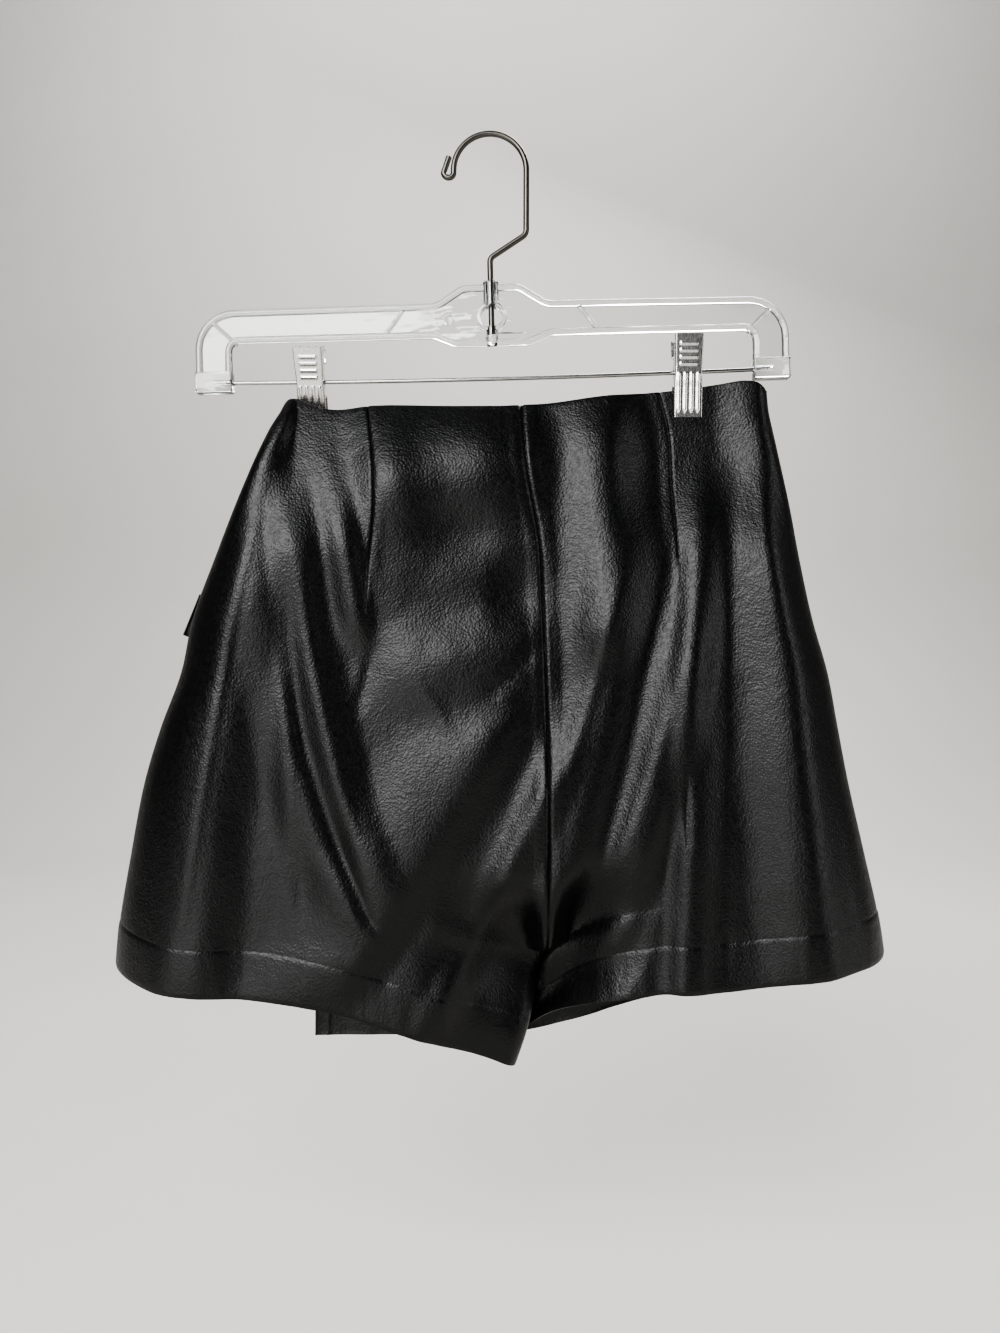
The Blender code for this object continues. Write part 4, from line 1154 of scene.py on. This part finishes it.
def carve(mesh, added, removed):
    """One closed mesh: the first with others joined on and holes taken out, exactly."""
    base, tools = place_object("base", mesh), []
    for operation, meshes in (("UNION", added), ("DIFFERENCE", removed)):
        for tool_mesh in meshes:
            tools.append(place_object("tool", tool_mesh))
            step = base.modifiers.new("step", "BOOLEAN")
            step.operation, step.solver, step.object = operation, "EXACT", tools[-1]
    return finished(base, *tools)


def smooth_by_angle(mesh, degrees=35.0):
    """Rounds the shading over every edge that bends less than an angle."""
    shape = bmesh.new()
    shape.from_mesh(mesh)
    for edge in shape.edges:
        edge.smooth = len(edge.link_faces) == 2 and edge.calc_face_angle() < math.radians(degrees)
    for face in shape.faces:
        face.smooth = True
    shape.to_mesh(mesh)
    shape.free()


# %% Join the bar
outer, inner = bar_lines()
plate = curve_mesh("web", [(x, z, 0.0) for x, z in outer + inner[::-1]], WEB, 0, "2D", True)
added = [curve_mesh("bead", [(x, 0.0, z) for x, z in line], BEAD, 4) for line in (outer, inner)]
removed = [blank("cylinder", RING_HOLE, (0, 0, 0)), blank("cylinder", HOOK_HOLE, (0, 0, 8.7))]
for side in (-1, 1):
    added += [curve_mesh("rib", [(side * x, 0.0, z) for x, z in rib], RIB, 3) for rib in RIBS]
    added.append(blank("block", SOCKET, (side * SOCKET_X, 0.0, ROD_LEVEL), 0.9))
    removed.append(blank("cylinder", (ROD / 2 + FIT, 20.0, "x"),
                         (side * (ROD_REACH - 8.0), 0.0, ROD_LEVEL)))
added += [blank("cylinder", form[:3], *form[3:]) for form in HUB_FORMS]
removed.append(blank("cylinder", STUB_HOLLOW, (-26.1, -1.4, -1.1)))
bar = carve(plate, added, removed)
smooth_by_angle(bar)
on_hanger = Matrix.Translation(Vector((HUB[0], 0, HUB[1])) * MM) @ Matrix.Rotation(-TILT, 4, "Y")
bar.transform(on_hanger)
add_piece("hanger_frame_moulded", bar, "clear_plastic", styrene, node="hanger_frame")
print("bar", len(bar.polygons), "faces")

# %% [markdown]
# ## Hook and rod
# Both are drawn wire bent cold, so each is a round section swept along its line. The hook's
# line is a half circle with a cranked neck and a tight turned-back end, which keeps the cut
# wire from snagging clothes.

# %% Bend the hook and lay the rod
HOOK_RADIUS, CURL_RADIUS = 21.8, 3.0
centre = Vector((0.9, HOOK_WIRE / 2 - HOOK_RADIUS))
crown = [centre + HOOK_RADIUS * Vector((math.cos(angle), math.sin(angle)))
         for angle in (math.radians(step) for step in range(0, 181, 4))]
turn = crown[-1] + Vector((-CURL_RADIUS, -1.6))
curl = [turn + CURL_RADIUS * Vector((math.cos(angle), math.sin(angle)))
        for angle in (math.radians(step) for step in range(0, -181, -15))]
tip = curl[-1] + Vector((3.2, 9.4))
neck = rounded([(*hang(0.0, -10.7), 0.0), (*hang(0.0, 35.3), 4.5), (22.6, -58.6, 5.0),
                (crown[0].x, crown[0].y, 0.0)], 8)
line = neck[:-1] + [tuple(point) for point in crown + curl[1:]] + [tuple(tip)]
hook_mesh = curve_mesh("hook", [(x, 0.0, z) for x, z in line], HOOK_WIRE, 6)
smooth_by_angle(hook_mesh, 50.0)
add_piece("hanger_hook_wire", hook_mesh, "dark_wire", dark_nickel, node="hanger_hook")
stations = [ROD_REACH * (step / 20 - 1) for step in range(41)]
rod_line = [hang(x, rod_height(x)) for x in stations]
rod_mesh = curve_mesh("rod", [(x, 0.0, z) for x, z in rod_line], ROD, 6)
smooth_by_angle(rod_mesh, 50.0)
add_piece("hanger_rod_steel", rod_mesh, "steel", drawn_steel, node="hanger_rod")
print("hook", len(hook_mesh.polygons), "faces, rod", len(rod_mesh.polygons))

# %% [markdown]
# ## The clips
# A jaw is stamped from 0.9 mm sheet in one stroke: side flanges that turn on the rod, four
# raised bars for the thumb, and four flutes that stiffen the grip and end in points. The tool
# rounds every edge, so the relief is smooth and the chrome draws bright lines along it.
# One grid with a height function makes all of it, and the rod's hole is cut afterwards.

# %% Relief of a jaw
JAW = (
    # height from the rod, depth of the outer face, half width, depth of the side flanges
    (-27.7, 3.8, 8.4, 0.3), (-24, 4.2, 8.4, 0.5), (-16, 4.8, 8.4, 1), (-9.5, 5.4, 8.4, 1.4),
    (-6.5, 5.8, 8.2, 3.8), (-3.2, 6.1, 8, 8.4), (3.2, 6.8, 8, 8.4), (7, 7.4, 8.2, 4.2),
    (13, 8.3, 8.4, 1.8), (20.6, 9.4, 8.4, 1.6),
)
SHEET, BEND = 0.9, 0.9
THUMB_BARS = (15.0, 11.1, 7.2, 3.3)
BAR_LENGTH, BAR_WIDTH, BAR_RISE = 4.6, 1.35, 0.62
FLUTES = (-5.7, -1.9, 1.9, 5.7)
FLUTE_TOP, FLUTE_FOOT, FLUTE_WIDTH, FLUTE_RISE = -1.4, -25.6, 1.5, 0.6


def bump(off, half):
    return (1 + math.cos(math.pi * off / half)) / 2 if abs(off) < half else 0.0


def jaw_relief(x, height):
    """Raised thumb bars above the rod, pointed flutes below it."""
    rise = 0.0
    for level in THUMB_BARS:
        past = max(0.0, abs(x) - BAR_LENGTH)
        rise += BAR_RISE * bump(math.hypot(past, height - level), BAR_WIDTH)
    for centre_x in FLUTES:
        if FLUTE_FOOT < height < FLUTE_TOP:
            half = FLUTE_WIDTH * smooth(0.0, 2.6, height - FLUTE_FOOT) + 0.01
            ends = smooth(0.0, 1.2, FLUTE_TOP - height) * smooth(0.0, 1.0, height - FLUTE_FOOT)
            rise += FLUTE_RISE * bump(x - centre_x, half) * ends
    return rise


def between(rows, at, column):
    """A table's column at a height, in straight lines."""
    for low, high in zip(rows, rows[1:]):
        if at <= high[0]:
            return low[column] + (high[column] - low[column]) * (at - low[0]) / (high[0] - low[0])
    return rows[-1][column]


def jaw_point(kind, value, height, inset):
    """X and depth of a point on the plate, round the bend or on a side flange."""
    depth, half, flange = (between(JAW, height, column) for column in (1, 2, 3))
    half -= inset if flange > 3 else 0.0
    side = -1.0 if value < 0 else 1.0
    if kind == "plate":
        x = value * (half - BEND)
        return x, depth + jaw_relief(x, height)
    if kind == "corner":
        angle = abs(value)
        return side * (half - BEND + BEND * math.sin(angle)), depth - BEND + BEND * math.cos(angle)
    return side * half, depth - BEND - (flange - 0.2) * (abs(value) - 1.0)


# %% Stamp, cut and place the jaws
def on_clip(side):
    """Where a clip's own origin, on the rod, stands in the part, and how far it has swung."""
    x, z = PLACES[side]
    return (Matrix.Translation(Vector((x, 0.0, z)) * MM)
            @ Matrix.Rotation(CLIPS[side]["pitch"], 4, "X"))


def make_jaw(name, side, facing):
    """A jaw whose outside faces along Y; the back one's flanges fit inside the front one's."""
    inset = 0.0 if facing < 0 else SHEET + FIT
    right = [("corner", math.radians(angle)) for angle in (25, 50, 75)]
    right += [("flange", 1.0 + part) for part in (0.05, 0.33, 0.66, 1.0)]
    columns = [(kind, -value) for kind, value in right[::-1]]
    columns += [("plate", part / 20) for part in range(-20, 21)] + right
    heights = [JAW[0][0] + (JAW[-1][0] - JAW[0][0]) * index / 84 for index in range(85)]
    grid = []
    for height in heights:
        row = [jaw_point(kind, value, height, inset) for kind, value in columns]
        grid.append([Vector((x, facing * y, height)) * MM for x, y in row])
    holder = place_object(name, grid_mesh(name, grid, facing > 0))
    wall = holder.modifiers.new("wall", "SOLIDIFY")
    wall.thickness, wall.offset = SHEET * MM, -1.0
    rod_hole = blank("cylinder", (ROD / 2 + 2 * FIT, 40.0, "x"), (0, 0, 0))
    solid = carve(finished(holder), [], [rod_hole])
    smooth_by_angle(solid, 40.0)
    solid.transform(on_clip(side))
    add_piece(f"{name}_stamped", solid, "chrome_sheet", chrome, node=name)
    return len(solid.polygons)


def make_spring(name, side):
    """Torsion spring on the rod, its legs pressing the jaws' tops apart."""
    turns, count, radius, pitch = 3.5, 24, 2.7, 1.35
    leg, seat = 11.0, 6.2 + 0.115 * 11.0 - 1.9
    coil = []
    for step in range(int(turns * count) + 1):
        angle = math.tau * step / count
        coil.append((pitch * (step / count - turns / 2), radius * math.cos(angle),
                     -radius * math.sin(angle)))
    line = [(coil[0][0], seat, leg), *coil, (coil[-1][0], -seat, leg)]
    mesh = curve_mesh(name, line, 1.0, 4)
    smooth_by_angle(mesh, 50.0)
    mesh.transform(on_clip(side))
    add_piece(f"{name}_wire", mesh, "steel", drawn_steel, node=name)


for side in CLIPS:
    front = make_jaw(f"clip_{side}_front_jaw", side, -1)
    back = make_jaw(f"clip_{side}_back_jaw", side, 1)
    make_spring(f"clip_{side}_spring", side)
    print("clip", side, front, back, "faces")

# %% [markdown]
# ## The stage
# A plain pale floor sweeps up into a wall behind the skort. Black shiny cloth shows little but
# reflections, so the lamps' shapes draw every fold. A wide lamp like a window stands above on
# the left, with a weak one on the right and a low one in front. Two more hang behind the
# skort: one lights its hidden side, one washes the wall. The sky gives only a faint glow.

# %% Floor, sky and lamps
def painted_floor():
    made, tree, place = start_material("matt_painted_floor", Roughness=0.85)
    run_tones(tree, "#d4d2cd", "#dad8d4", cloudy(tree, place, 3.0, 3.0))
    return made


# in metres: the floor's height, the wall's distance and top, the sweep between, the widths
FLOOR_Z, BACK_Y, WALL_TOP, SWEEP, FRONT_Y, HALF_WIDE = -0.75, 2.4, 4.0, 0.8, -6.0, 7.0
profile = [(FRONT_Y, FLOOR_Z), (BACK_Y - SWEEP, FLOOR_Z)]
profile += [(BACK_Y - SWEEP * (1 - math.sin(angle)), FLOOR_Z + SWEEP * (1 - math.cos(angle)))
            for angle in (math.radians(step) for step in range(9, 90, 9))]
profile += [(BACK_Y, FLOOR_Z + SWEEP), (BACK_Y, WALL_TOP)]
shape = bmesh.new()
rails = [[shape.verts.new((x, y, z)) for y, z in profile] for x in (-HALF_WIDE, HALF_WIDE)]
for index in range(len(profile) - 1):
    shape.faces.new((rails[0][index], rails[0][index + 1], rails[1][index + 1], rails[1][index]))
bmesh.ops.recalc_face_normals(shape, faces=shape.faces)
floor_mesh = mesh_of(shape, "studio_floor")
floor_mesh.shade_smooth()
floor_mesh.materials.append(painted_floor())
place_object("studio_floor", floor_mesh)

world = bpy.data.worlds.new("pale_sky")
bpy.context.scene.world = world
world.use_nodes = True
sky = world.node_tree.nodes["Background"]
sky.inputs["Color"].default_value = linear("#dfe0e2")
sky.inputs["Strength"].default_value = 0.09

SKORT, WALL_SPOT = (0.0, 0.0, -0.32), (0.0, BACK_Y, 0.0)
LAMPS = (
    # name, place and aim in metres, width, height, watts
    ("window_left", (-0.8, -1.55, 0.6), SKORT, 1.5, 1.2, 44.0),
    ("fill_right", (1.5, -0.5, 0.0), SKORT, 0.35, 1.3, 5.0),
    ("low_fill", (-0.7, -1.5, -0.62), SKORT, 1.4, 0.25, 4.0),
    ("wall_side", (0.8, 1.25, 1.65), SKORT, 1.5, 0.9, 42.0),
    ("wall_wash", (0.0, 1.3, 2.2), WALL_SPOT, 2.6, 1.0, 29.0),
)
for name, place, aim, width, height, watts in LAMPS:
    lamp = bpy.data.lights.new(name, "AREA")
    lamp.shape, lamp.size, lamp.size_y, lamp.energy = "RECTANGLE", width, height, watts
    holder = place_object(name, lamp)
    holder.location = place
    holder.rotation_euler = (Vector(aim) - Vector(place)).to_track_quat("-Z", "Y").to_euler()

# %% [markdown]
# ## The camera
# It stands where the photographer stood, level and in front, 0.6 m from the hanger. The view's
# contrast look keeps the black cloth deep.

# %% Camera
lens = bpy.data.cameras.new("camera")
lens.lens, lens.sensor_width = 27.0, 36.0
camera = place_object("camera", lens)
camera.location = Vector(EYE) * MM
camera.rotation_euler = (math.pi / 2, 0.0, 0.0)
bpy.context.scene.camera = camera
bpy.context.scene.view_settings.look = "AgX - High Contrast"
